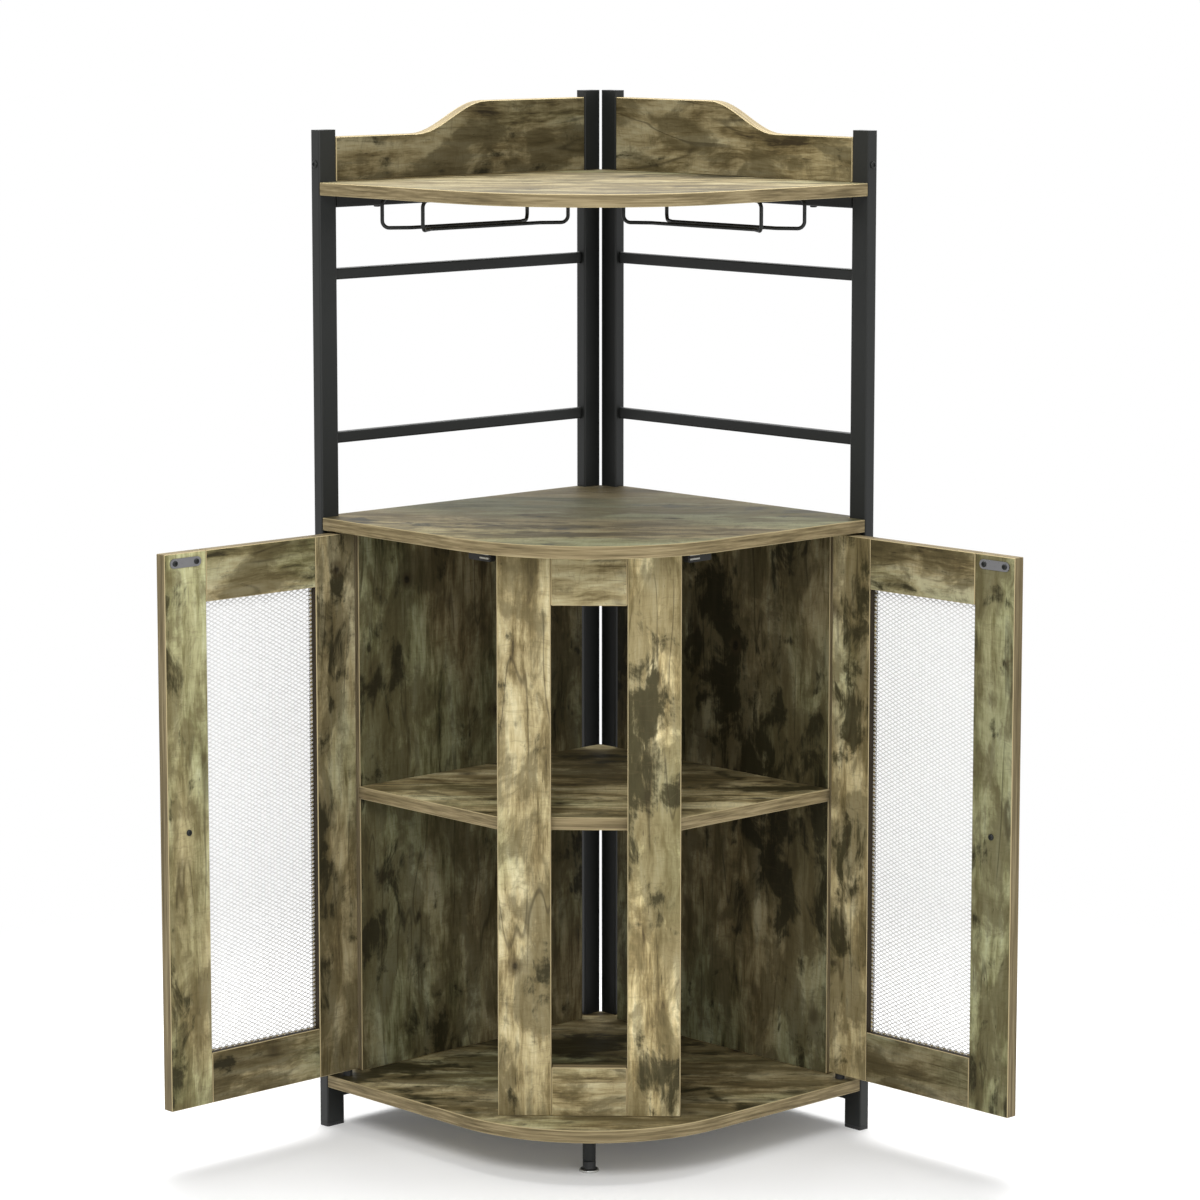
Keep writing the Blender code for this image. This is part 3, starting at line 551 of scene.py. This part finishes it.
def spin(shape, profile, base, axis, steps=ROUND):
    """Turn a profile of (radius, height) pairs about an axis through a base point."""
    axis = axis.normalized()
    rings = []
    for radius, height in profile:
        centre = base + axis * height
        rings.append([shape.verts.new(centre)] if radius == 0 else ring(shape, centre, axis, radius, steps))
    join(shape, rings)


def outline(start, *legs, curve_steps=5):
    """Return (radius, height) points; a leg is a line, or a quarter ellipse that leaves flat or upright."""
    points = [start]
    for radius, height, kind in legs:
        last_radius, last_height = points[-1]
        wider, higher = radius - last_radius, height - last_height
        steps = 1 if kind == "line" else curve_steps
        for step in range(1, steps + 1):
            turn = math.pi / 2 * step / steps
            early, late = math.sin(turn), 1 - math.cos(turn)
            across, up = {"line": (1, 1), "flat": (early, late), "upright": (late, early)}[kind]
            points.append((last_radius + wider * across, last_height + higher * up))
    return points


def sweep(shape, path, radius, steps=14):
    """Run a round wire along a path and close its ends."""
    rings = [[shape.verts.new(path[0])]]
    side = (path[1] - path[0]).orthogonal().normalized()
    last = len(path) - 1
    angles = [2 * math.pi * step / steps for step in range(steps)]
    for index, place in enumerate(path):
        ahead = (path[min(index + 1, last)] - path[max(index - 1, 0)]).normalized()
        side = (side - ahead * side.dot(ahead)).normalized()
        across = ahead.cross(side)
        spokes = [side * math.cos(angle) + across * math.sin(angle) for angle in angles]
        rings.append([shape.verts.new(place + spoke * radius) for spoke in spokes])
    rings.append([shape.verts.new(path[-1])])
    join(shape, rings)


def bent(corners, radius, steps=8):
    """Round each inner corner of a path with an arc."""
    path = [corners[0]]
    for before, here, after in zip(corners, corners[1:], corners[2:]):
        back, on = (before - here).normalized(), (after - here).normalized()
        half = back.angle(on) / 2
        middle = here + (back + on).normalized() * (radius / math.sin(half))
        start = here + back * (radius / math.tan(half)) - middle
        finish = here + on * (radius / math.tan(half)) - middle
        turn = start.angle(finish)
        for step in range(steps + 1):
            swung = turn * step / steps
            path.append(middle + (start * math.sin(turn - swung) + finish * math.sin(swung)) / math.sin(turn))
    path.append(corners[-1])
    return path


def prism(shape, loop, vector):
    """Extrude a closed loop of points along a vector."""
    rings = [[shape.verts.new(corner + vector * end) for corner in loop] for end in (0, 1)]
    join(shape, rings)
    shape.faces.new(rings[0])
    shape.faces.new(rings[1])


def ease(shape, amount, segments):
    """Round off every sharp edge of a shape."""
    bmesh.ops.recalc_face_normals(shape, faces=shape.faces)
    sharp = [edge for edge in shape.edges if edge.calc_face_angle(0.0) > math.radians(SHARP_EDGE)]
    bmesh.ops.bevel(shape, geom=sharp, offset=amount, segments=segments, affect="EDGES", clamp_overlap=True)


def block(corner, deep, wide, tall, soften):
    """Return a box that spans three edges from one corner, with its edges rounded."""
    shape = bmesh.new()
    prism(shape, [corner, corner + deep, corner + deep + wide, corner + wide], tall)
    ease(shape, soften, segments=3)
    return shape


# Screw heads: radius and height in metres
KNOB_SCREW_HEAD = 0.0020
STRIKE_SCREW = (0.0036, 0.0014)
RACK_SCREW = (0.0034, 0.0016)
LEG_SCREW = (0.0032, 0.0015)
BAR_SCREW = (0.0045, 0.0022)
POST_BOLT = (0.0045, 0.0022)

# Outline of a head, rim and foot of its recess, and the recess's floor, in shares of radius and height
HEAD_OUTLINE = ((1.0, 0.45, "line"), (0.66, 1.0, "upright"))
RECESS = ((0.56, 1.0), (0.44, 0.35))
RECESS_FLOOR = 0.3

# Half the width of a cross recess's arm, in shares of its reach
CROSS_ARM = 0.3


def cross_slot(radius):
    """Return the outline of a screw's cross recess as a function of the angle."""
    def reach(angle):
        turn = abs((angle + math.pi / 4) % (math.pi / 2) - math.pi / 4)
        return min(radius / math.cos(turn), CROSS_ARM * radius / max(math.sin(turn), 0.01))
    return reach


def hex_socket(radius):
    """Return the outline of a bolt's hexagon socket as a function of the angle."""
    def reach(angle):
        return radius * math.cos(math.pi / 6) / math.cos(angle % (math.pi / 3) - math.pi / 6)
    return reach


def screw_head(shape, seat, axis, radius, height, socket=cross_slot):
    """A domed head with a recess, standing on a surface."""
    axis = axis.normalized()
    rings = [[shape.verts.new(seat)]]
    for share, level in outline((1.0, 0.0), *HEAD_OUTLINE, curve_steps=3):
        rings.append(ring(shape, seat + axis * height * level, axis, radius * share))
    for share, level in RECESS:
        rings.append(ring(shape, seat + axis * height * level, axis, socket(radius * share)))
    rings.append([shape.verts.new(seat + axis * height * RECESS_FLOOR)])
    join(shape, rings)


def add_screw(name, seat, axis, head, material, body="cabinet", socket=cross_slot):
    """Add one screw, of which only the head shows."""
    shape = bmesh.new()
    screw_head(shape, seat, axis, *head, socket)
    add_piece(name, shape, material, body)


# Boards: easing of their edges, edges too short to ease, and in degrees what is flat and what is an edge

EASED = 0.0009
EASED_FRONT = 0.0012
SHORT_EDGE = 0.004
FLAT, OUTER_EDGE = 0.5, 30


def refine(node, material, bevel):
    """Copy a board, ease its long outer edges and give it a finish; the copy stands for the board."""
    shape = bmesh.new()
    shape.from_mesh(NODES[node].data)
    bmesh.ops.remove_doubles(shape, verts=shape.verts, dist=MERGE)
    bmesh.ops.dissolve_limit(shape, angle_limit=math.radians(FLAT), verts=shape.verts, edges=shape.edges)
    bmesh.ops.recalc_face_normals(shape, faces=shape.faces)
    outer = []
    for edge in shape.edges:
        if len(edge.link_faces) == 2 and edge.calc_length() > SHORT_EDGE:
            if edge.calc_face_angle_signed(0.0) > math.radians(OUTER_EDGE):
                outer.append(edge)
    bmesh.ops.bevel(shape, geom=outer, offset=bevel, segments=1, affect="EDGES", clamp_overlap=True)
    stand_in(node, "wood", shape, material, BOARD_SMOOTH)


def lay(node, grain, thickness, reveal=None, bevel=EASED):
    """Dress one board; a reveal is the direction that its side in a window faces."""
    seed = FIRST_SEED + SEED_STEP * list(PRINTS).index(node)
    refine(node, wood(node, grain, thickness, seed, *PRINTS[node], reveal), bevel)


def dress_boards():
    """Dress every board, with its grain along the way the real one runs."""
    for node in ("top_shelf", "counter_board", "base_board", "middle_shelf"):
        lay(node, ACROSS_FRONT, UP)
    for part in ("top_rail", "bottom_rail"):
        lay(f"centre_{part}", ACROSS_FRONT, TOWARDS_CORNER, bevel=EASED_FRONT)
    for side, (along, inward) in WALLS.items():
        lay(f"backsplash_{side}", along, inward)
        lay(f"side_panel_{side}", UP, inward)
        lay(f"centre_stile_{side}", UP, TOWARDS_CORNER, bevel=EASED_FRONT)
        lay(f"{side}_door_hinge_stile", UP, inward, along)
        lay(f"{side}_door_free_stile", UP, inward, -along)
        lay(f"{side}_door_top_rail", along, inward, -UP)
        lay(f"{side}_door_bottom_rail", along, inward, UP)


# Door fittings: mesh cell and strand, the knob's outline in shares of its size, its shank and the strike

CELL_WIDE, CELL_HIGH = 0.0104, 0.0053
STRAND = 0.0012
STRAND_DEPTH = 0.0006
KNOB_OUTLINE = ((0.66, 0.0, "line"), (0.70, 0.03, "flat"), (0.70, 0.07, "line"), (0.62, 0.10, "upright"),
                (0.45, 0.26, "flat"), (0.45, 0.36, "line"), (0.78, 0.58, "upright"), (1.0, 0.78, "flat"),
                (0.58, 0.98, "upright"), (0.54, 0.965, "line"), (0.50, 0.98, "line"), (0.0, 1.0, "line"))
KNOB_SHANK = 0.0020
STRIKE_EASED = 0.0003
STRIKE_SCREW_INSET = 0.0075


def add_door_mesh(side, material):
    """Expanded metal: a lattice of rhombic cells, each inset to leave a strand, then thickened."""
    node = f"{side}_door_mesh"
    along, inward = WALLS[side]
    centre, size = span(node)
    wide = abs(size.dot(along))
    start = centre - along * wide / 2 - UP * size.z / 2
    columns, rows = 2 * round(wide / CELL_WIDE), 2 * round(size.z / CELL_HIGH)
    grid = [(i, j) for i in range(columns + 1) for j in range(rows + 1)]
    shape = bmesh.new()
    knots = {}
    for i, j in grid:
        if (i + j) % 2 == 0:
            knots[i, j] = shape.verts.new(start + along * (wide * i / columns) + UP * (size.z * j / rows))
    cells = []
    for i, j in grid:
        if (i + j) % 2 == 1:
            around = [knots.get(key) for key in ((i - 1, j), (i, j - 1), (i + 1, j), (i, j + 1))]
            cells.append(shape.faces.new([knot for knot in around if knot]))
    shape.normal_update()
    bmesh.ops.inset_individual(shape, faces=cells, thickness=STRAND / 2, use_even_offset=True)
    bmesh.ops.delete(shape, geom=cells, context="FACES")
    bmesh.ops.translate(shape, verts=shape.verts, vec=-inward * STRAND_DEPTH / 2)
    swept = bmesh.ops.extrude_face_region(shape, geom=shape.faces[:])["geom"]
    moved = [part for part in swept if isinstance(part, bmesh.types.BMVert)]
    bmesh.ops.translate(shape, verts=moved, vec=inward * STRAND_DEPTH)
    stand_in(node, "expanded", shape, material, MESH_SMOOTH)


def add_knob(side, material):
    """A turned knob with a rolled foot, a waist and a ring cut into its domed face."""
    node = f"{side}_door_knob"
    centre, size = span(node)
    outward = -WALLS[side][1]
    length = abs(size.dot(outward))
    profile = [(radius * size.z / 2, height * length) for radius, height in outline((0, 0), *KNOB_OUTLINE)]
    shape = bmesh.new()
    spin(shape, profile, centre - outward * length / 2, outward)
    stand_in(node, "turned", shape, material)


def add_knob_screw(side, material):
    """The screw that holds the knob: a cross head on the inner face and a shank through the stile."""
    node = f"{side}_door_knob_screw"
    centre, size = span(node)
    inward = WALLS[side][1]
    reach = abs(size.dot(inward)) / 2
    shank = 2 * reach - KNOB_SCREW_HEAD
    tip = KNOB_SHANK / 2
    shape = bmesh.new()
    screw_head(shape, centre + inward * (reach - KNOB_SCREW_HEAD), inward, size.z / 2, KNOB_SCREW_HEAD)
    profile = outline((0, 0), (KNOB_SHANK, tip, "flat"), (KNOB_SHANK, shank, "line"), (0, shank, "line"))
    spin(shape, profile, centre - inward * reach, inward, steps=16)
    stand_in(node, "cross", shape, material)


def add_strike(side, plate_material, screw_material):
    """A strike plate with round ends, held by two cross-head screws."""
    node = f"{side}_door_strike_plate"
    along, inward = WALLS[side]
    centre, size = span(node)
    length, height, thick = abs(size.dot(along)), size.z, abs(size.dot(inward))
    back = centre - inward * thick / 2
    end_steps = 12
    loop = []
    for end in (1, -1):
        middle = back + along * (end * (length - height) / 2)
        for step in range(end_steps + 1):
            angle = math.pi * step / end_steps
            loop.append(middle + (UP * math.cos(angle) + along * math.sin(angle)) * (end * height / 2))
    shape = bmesh.new()
    prism(shape, loop, inward * thick)
    ease(shape, STRIKE_EASED, segments=2)
    stand_in(node, "rounded", shape, plate_material)
    for number, end in enumerate((-1, 1), 1):
        seat = back + inward * thick + along * (end * (length / 2 - STRIKE_SCREW_INSET))
        name = f"{side}_door_strike_screw_{number}"
        add_screw(name, seat, inward, STRIKE_SCREW, screw_material, f"{side}_door")


# Magnetic catches: how far the poles stand proud, their size, their ends and their heights in the case

POLE_PROUD = 0.0012
POLE_DEPTH, POLE_THICK = 0.0040, 0.0020
POLE_START, POLE_END = 0.0022, 0.0012
POLE_HEIGHTS = (0.24, 0.62)
CASE_EASED, POLE_EASED = 0.0014, 0.0002


def add_catch(side, case_material, pole_material):
    """A magnetic catch: a moulded case under the counter and two pole plates towards the door."""
    node = f"magnetic_catch_{side}"
    out, along = WALLS[side]
    centre, size = span(node)
    depth, length, height = abs(size.dot(out)), abs(size.dot(along)), size.z
    low = centre - UP * height / 2
    corner = low - out * depth / 2 - along * length / 2
    case = block(corner, out * (depth - POLE_PROUD), along * length, UP * height, CASE_EASED)
    stand_in(node, "case", case, case_material)
    for number, share in enumerate(POLE_HEIGHTS, 1):
        corner = low + out * (depth / 2 - POLE_DEPTH) + along * POLE_START + UP * height * share
        reach = length / 2 - POLE_END - POLE_START
        pole = block(corner, out * POLE_DEPTH, along * reach, UP * POLE_THICK, POLE_EASED)
        add_piece(f"{node}.pole_{number}", pole, pole_material, "cabinet")


# Glass racks: wire radius, foot, flare and bend of the wire, gap between the rails, and the screw plates

WIRE = 0.0024
RACK_FOOT, RACK_FLARE, RACK_BEND = 0.022, 0.030, 0.009
RACK_GAP = 0.038
PLATE, PLATE_THICK, PLATE_EASED = 0.012, 0.0012, 0.0005
PLATE_INSET = 0.0075


def add_rack(side, material):
    """A bent wire rack for stemmed glasses, with the small plates that screw it to the shelf."""
    node = f"glass_rack_{side}"
    along, inward = WALLS[side]
    centre, size = span(node)
    half_wide = abs(size.dot(inward)) / 2 - WIRE
    reach = abs(size.dot(along)) / 2 - WIRE
    rise = size.z / 2 - WIRE
    half = [(reach - RACK_FOOT, half_wide, rise), (reach, half_wide, rise), (reach, half_wide, -rise),
            (reach - RACK_FLARE, RACK_GAP / 2, -rise), (RACK_FLARE - reach, RACK_GAP / 2, -rise),
            (-reach, half_wide, -rise), (-reach, half_wide, rise)]
    route = half + [(a, -b, z) for a, b, z in reversed(half)]
    shape = bmesh.new()
    sweep(shape, bent([centre + along * a + inward * b + UP * z for a, b, z in route], RACK_BEND), WIRE)
    stand_in(node, "wire", shape, material)
    front = reach - RACK_FOOT / 2
    spots = {"front_outer": (front, half_wide - PLATE_INSET), "front_inner": (front, PLATE_INSET - half_wide),
             "rear": (PLATE_INSET - reach, 0.0)}
    shelf_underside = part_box("top_shelf")[0][2]
    for name, (a, b) in spots.items():
        place = centre + along * a + inward * b
        place.z = shelf_underside - CLEAR
        corner = place - (along + inward) * PLATE / 2
        plate = block(corner, along * PLATE, inward * PLATE, -UP * PLATE_THICK, PLATE_EASED)
        add_piece(f"{node}.plate_{name}", plate, material, "cabinet")
        add_screw(f"{node}.screw_{name}", place - UP * PLATE_THICK, -UP, RACK_SCREW, material)


# Leg: radius of the tube, its bore and the insert's bore, the insert's height, the flange, and its screws

LEG_TUBE, LEG_BORE, INSERT_BORE = 0.0082, 0.0070, 0.0046
INSERT_HEIGHT = 0.012
FLANGE_THICK, FLANGE_FILLET = 0.0020, 0.0022
LEG_CHAMFER = 0.0008
LEG_SCREWS, LEG_SCREW_CIRCLE = 4, 0.0145


def add_leg(material):
    """The centre leg: a tube with a flange on four screws, and a threaded insert at its foot."""
    node = "front_leg"
    centre, size = span(node)
    base = centre - UP * size.z / 2
    flange, top = size.x / 2, size.z
    under = top - FLANGE_THICK
    profile = outline(
        (INSERT_BORE, 0), (LEG_TUBE - LEG_CHAMFER, 0, "line"), (LEG_TUBE, LEG_CHAMFER, "line"),
        (LEG_TUBE, under - FLANGE_FILLET, "line"), (LEG_TUBE + FLANGE_FILLET, under, "upright"),
        (flange - LEG_CHAMFER, under, "line"), (flange, under + LEG_CHAMFER, "flat"), (flange, top, "line"),
        (LEG_BORE, top, "line"), (LEG_BORE, INSERT_HEIGHT, "line"), (INSERT_BORE, INSERT_HEIGHT, "line"),
        (INSERT_BORE, 0, "line"))
    shape = bmesh.new()
    spin(shape, profile, base, UP)
    bmesh.ops.remove_doubles(shape, verts=shape.verts, dist=MERGE)
    stand_in(node, "flanged", shape, material)
    for number in range(LEG_SCREWS):
        angle = 2 * math.pi * number / LEG_SCREWS
        seat = base + Vector((math.cos(angle), math.sin(angle), 0)) * LEG_SCREW_CIRCLE + UP * under
        add_screw(f"front_leg.screw_{number + 1}", seat, -UP, LEG_SCREW, material)


# Leveller glide: its disc, its collar with flutes, and its threaded stem

DISC_THICK, DISC_EASED = 0.0034, 0.0012
COLLAR, COLLAR_FOOT, COLLAR_START, COLLAR_TOP = 0.0082, 0.0018, 0.0066, 0.014
COLLAR_EASED = 0.0006
FLUTES, FLUTE_DEPTH = 12, 0.0005
STEM, THREAD_PITCH, THREAD_DEPTH = 0.0040, 0.00125, 0.0005
STEPS_PER_TURN = 6


def fluted(angle):
    """Return the collar's radius at an angle."""
    return COLLAR - FLUTE_DEPTH * max(0.0, math.cos(FLUTES * angle))


def threaded(height):
    """Return the stem's outline at a height, as a function of the angle."""
    def reach(angle):
        phase = (height / THREAD_PITCH - angle / (2 * math.pi)) % 1.0
        return STEM - THREAD_DEPTH * abs(2 * phase - 1)
    return reach


def add_glide(material, disc_material):
    """The screw-in glide: a bright foot disc, a fluted collar and a threaded stem."""
    node = "leveller_glide"
    centre, size = span(node)
    base = centre - UP * size.z / 2
    foot, top = size.x / 2, size.z
    shape = bmesh.new()
    spin(shape, outline((0, 0), (foot - DISC_EASED, 0, "line"), (foot, DISC_EASED, "flat"),
                        (foot, DISC_THICK - DISC_EASED, "line"), (foot - DISC_EASED, DISC_THICK, "upright"),
                        (0, DISC_THICK, "line")), base, UP)
    add_piece("leveller_glide.disc", shape, disc_material, "leveller")
    seat = foot - COLLAR_FOOT
    levels = outline((seat, DISC_THICK), (seat, DISC_THICK + COLLAR_EASED, "line"),
                     (COLLAR, COLLAR_START, "flat"))
    levels += [(fluted, COLLAR_START + COLLAR_EASED), (fluted, COLLAR_TOP - COLLAR_EASED)]
    levels += [(COLLAR - COLLAR_EASED, COLLAR_TOP), (STEM - THREAD_DEPTH, COLLAR_TOP)]
    for step in range(1, int((top - COLLAR_TOP) / THREAD_PITCH * STEPS_PER_TURN)):
        height = COLLAR_TOP + step * THREAD_PITCH / STEPS_PER_TURN
        levels.append((threaded(height), height))
    levels.append((STEM - 2 * THREAD_DEPTH, top))
    shape = bmesh.new()
    rings = [[shape.verts.new(base + UP * DISC_THICK)]]
    rings += [ring(shape, base + UP * height, UP, radius) for radius, height in levels]
    rings.append([shape.verts.new(base + UP * top)])
    join(shape, rings)
    stand_in(node, "threaded", shape, material)


# Shelf pins, and places of the fixings along a wall

PIN, PIN_COLLAR = 0.0025, 0.0042
PIN_SUNK, PIN_COLLAR_THICK, PIN_LENGTH = 0.0040, 0.0013, 0.0131
PIN_PLACES = (-0.15, 0.0, 0.15)
BAR_SCREW_PLACES = (-0.14, 0.14)
POST_BOLT_RISE = 0.0225


def add_post_bolt(side, material):
    """A socket-head bolt through the front post into the backsplash."""
    along = WALLS[side][0]
    centre, size = span(f"front_post_{side}")
    seat = centre + along * abs(size.dot(along)) / 2
    seat.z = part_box("top_shelf")[1][2] + POST_BOLT_RISE
    add_screw(f"post_bolt_{side}", seat, along, POST_BOLT, material, socket=hex_socket)


def add_shelf_pins(side, material):
    """Three pins in the side panel that carry the middle shelf."""
    along, inward = WALLS[side]
    centre, size = span(f"side_panel_{side}")
    wall = centre + inward * (abs(size.dot(inward)) / 2 - PIN_SUNK)
    wall.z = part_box("middle_shelf")[0][2] - PIN - CLEAR
    collar_end = PIN_SUNK + PIN_COLLAR_THICK
    nose = PIN / 2
    profile = outline(
        (0, 0), (PIN, 0, "line"), (PIN, PIN_SUNK, "line"), (PIN_COLLAR, PIN_SUNK, "line"),
        (PIN_COLLAR, collar_end, "line"), (PIN, collar_end, "line"), (PIN, PIN_LENGTH - nose, "line"),
        (PIN - nose, PIN_LENGTH, "upright"), (0, PIN_LENGTH, "line"))
    for number, place in enumerate(PIN_PLACES, 1):
        shape = bmesh.new()
        spin(shape, profile, wall + along * place, inward, steps=32)
        add_piece(f"shelf_pin_{side}_{number}", shape, material, "cabinet")


def add_bar_screws(side, material):
    """Screws up through the bars into the boards that they carry."""
    along = WALLS[side][0]
    for bar in ("base_bar", "counter_bar", "shelf_bar"):
        centre, size = span(f"{bar}_{side}")
        under = centre - UP * size.z / 2
        for number, place in enumerate(BAR_SCREW_PLACES, 1):
            add_screw(f"{bar}_screw_{side}_{number}", under + along * place, -UP, BAR_SCREW, material)


# Welds: fillet size, stop before the bar's edges, ripples, and shares of the size at a dip and at an end

WELD = 0.0019
WELD_STOP = 0.002
RIPPLES = 14
RIPPLE_DIP, WELD_END = 0.82, 0.5
WELD_SIDES = {
    "base_bar": (-1,),
    "counter_bar": (-1,),
    "shelf_bar": (-1,),
    "lower_rail": (-1, 1),
    "upper_rail": (-1, 1),
}


def bead(shape, corner, run, over, out):
    """One rippled hollow fillet in the corner between a bar and a post."""
    section = [(0, 0)] + outline((1.0, 0.0), (0.0, 1.0, "flat"), curve_steps=4)
    rings = []
    for step in range(RIPPLES + 1):
        swell = WELD * (1.0 if step % 2 else RIPPLE_DIP) * (WELD_END if step in (0, RIPPLES) else 1.0)
        place = corner + run * (step / RIPPLES - 0.5) - over * CLEAR
        rings.append([shape.verts.new(place + (over * a + out * b) * swell) for a, b in section])
    join(shape, rings)
    shape.faces.new(rings[0])
    shape.faces.new(rings[-1])


def add_welds(side, material):
    """Small fillet welds under the bars and above and below the rails, where they meet the posts."""
    along, inward = WALLS[side]
    for bar, sides in WELD_SIDES.items():
        centre, size = span(f"{bar}_{side}")
        wide = abs(size.dot(inward)) - 2 * WELD_STOP
        shape = bmesh.new()
        for end in (-1, 1):
            for up in sides:
                corner = centre + along * (end * abs(size.dot(along)) / 2) + UP * (up * size.z / 2)
                bead(shape, corner, inward * wide, along * -end, UP * up)
        add_piece(f"{bar}_weld_{side}", shape, material, "cabinet", WELD_SMOOTH)


# Dressing: colours of the mesh and strike metal, and the mesh's roughness and how metallic it is

MESH_METAL = (0.91, 0.91, 0.90)
MESH_ROUGHNESS, MESH_METALLIC = (0.45, 0.60), 0.6
STRIKE_METAL = (0.27, 0.27, 0.28)


def dress_solids():
    """Give every solid that stays visible its finish."""
    bright = zinc("zinc_plate")
    finishes = {"black_steel": powder_coat("powder_coat"), "black_plastic": moulded("moulded_plastic"),
                "bright_metal": bright, "door_mesh": bright}
    for row in frame["record"]["subparts"]:
        if row["material_slot"] in finishes:
            materials = NODES[row["node"]].data.materials
            materials.clear()
            materials.append(finishes[row["material_slot"]])


def dress_fittings():
    """Make the door fittings, racks, leg, glide, fixings and welds."""
    steel = powder_coat("steel_fittings")
    plastic = moulded("plastic_fittings")
    bright = zinc("bright_fittings")
    strands = zinc("mesh_strands", MESH_METAL, MESH_ROUGHNESS, MESH_METALLIC)
    strike = zinc("strike_metal", STRIKE_METAL)
    for side in WALLS:
        add_door_mesh(side, strands)
        add_knob(side, steel)
        add_knob_screw(side, steel)
        add_strike(side, strike, steel)
        add_catch(side, plastic, bright)
        add_rack(side, steel)
        add_post_bolt(side, steel)
        add_shelf_pins(side, bright)
        add_bar_screws(side, steel)
        add_welds(side, steel)
    add_leg(steel)
    add_glide(plastic, bright)


# Studio: the floor's reach, colour and fade to white, and how strong floor and surroundings glow

FLOOR_REACH = 30.0
FLOOR_COLOUR = (0.93, 0.93, 0.93, 1.0)
FLOOR_FADE = (0.75, 1.6)
FLOOR_GLOW = 0.09
AMBIENT, WHITE = 0.28, 1.0

# Soft lamps: place, side of the square and power
AIM = Vector((0.0, 0.0, 0.7))
LAMPS = {
    "key": ((-2.6, -1.7, 3.1), 1.6, 84),
    "fill": ((-1.2, -3.8, 2.0), 2.4, 38),
    "top": ((0.68, 0.68, 3.3), 2.3, 155),
}


def shown(tree):
    """Return 1 on rays that show the backdrop itself: to the camera, off metal or through glass."""
    path = tree.nodes.new("ShaderNodeLightPath")
    seen = path.outputs["Is Camera Ray"]
    for ray in ("Is Glossy Ray", "Is Transmission Ray"):
        either = tree.nodes.new("ShaderNodeMath")
        either.operation = "MAXIMUM"
        tree.links.new(seen, either.inputs[0])
        tree.links.new(path.outputs[ray], either.inputs[1])
        seen = either.outputs[0]
    return seen


def floor_material():
    """A pale matt floor that keeps the shadow and fades to white away from the object."""
    shader = Shader("floor")
    tree = shader.tree
    seen = shown(tree)
    shader.feed("Base Color", FLOOR_COLOUR)
    shader.feed("Roughness", 0.9)
    shader.feed("Specular IOR Level", 0.0)
    shader.feed("Emission Color", (1.0, 1.0, 1.0, 1.0))
    shader.feed("Emission Strength", shader.math("MULTIPLY", seen, FLOOR_GLOW))
    fade = shader.ramp(shader.vector("LENGTH", shader.spot, output=1), *FLOOR_FADE)
    glow = tree.nodes.new("ShaderNodeEmission")
    glow.inputs["Strength"].default_value = WHITE
    surfaces = {0: shader.math("MULTIPLY", fade, seen), 1: shader.surface.outputs[0], 2: glow.outputs[0]}
    shader.put(tree.nodes["Material Output"].inputs["Surface"], shader.node("ShaderNodeMixShader", surfaces))
    return shader.material


def add_floor():
    """Lay a plain floor under the object."""
    corners = [(x * FLOOR_REACH, y * FLOOR_REACH, 0) for x, y in ((-1, -1), (1, -1), (1, 1), (-1, 1))]
    mesh = bpy.data.meshes.new("floor")
    mesh.from_pydata(corners, [], [(0, 1, 2, 3)])
    mesh.materials.append(floor_material())
    floor = bpy.data.objects.new("floor", mesh)
    SCENE.collection.objects.link(floor)


def add_world():
    """Surroundings that look white and light the object at a plain level."""
    world = bpy.data.worlds.new("studio")
    world.use_nodes = True
    tree = world.node_tree
    tree.nodes.clear()
    blend = tree.nodes.new("ShaderNodeMixShader")
    tree.links.new(shown(tree), blend.inputs[0])
    for socket, strength in ((1, AMBIENT), (2, WHITE)):
        background = tree.nodes.new("ShaderNodeBackground")
        background.inputs["Color"].default_value = (1.0, 1.0, 1.0, 1.0)
        background.inputs["Strength"].default_value = strength
        tree.links.new(background.outputs[0], blend.inputs[socket])
    out = tree.nodes.new("ShaderNodeOutputWorld")
    tree.links.new(blend.outputs[0], out.inputs["Surface"])
    SCENE.world = world


def add_lamps():
    """Hang the soft square lamps, aimed at the middle of the object."""
    for name, (place, side, power) in LAMPS.items():
        data = bpy.data.lights.new(name, "AREA")
        data.shape = "SQUARE"
        data.size = side
        data.energy = power
        lamp = bpy.data.objects.new(name, data)
        lamp.location = place
        lamp.rotation_mode = "QUATERNION"
        lamp.rotation_quaternion = (AIM - Vector(place)).to_track_quat("-Z", "Y")
        SCENE.collection.objects.link(lamp)


add_camera()
add_world()
add_lamps()
add_floor()
dress_solids()
dress_boards()
dress_fittings()
SCENE.view_settings.view_transform = "Standard"
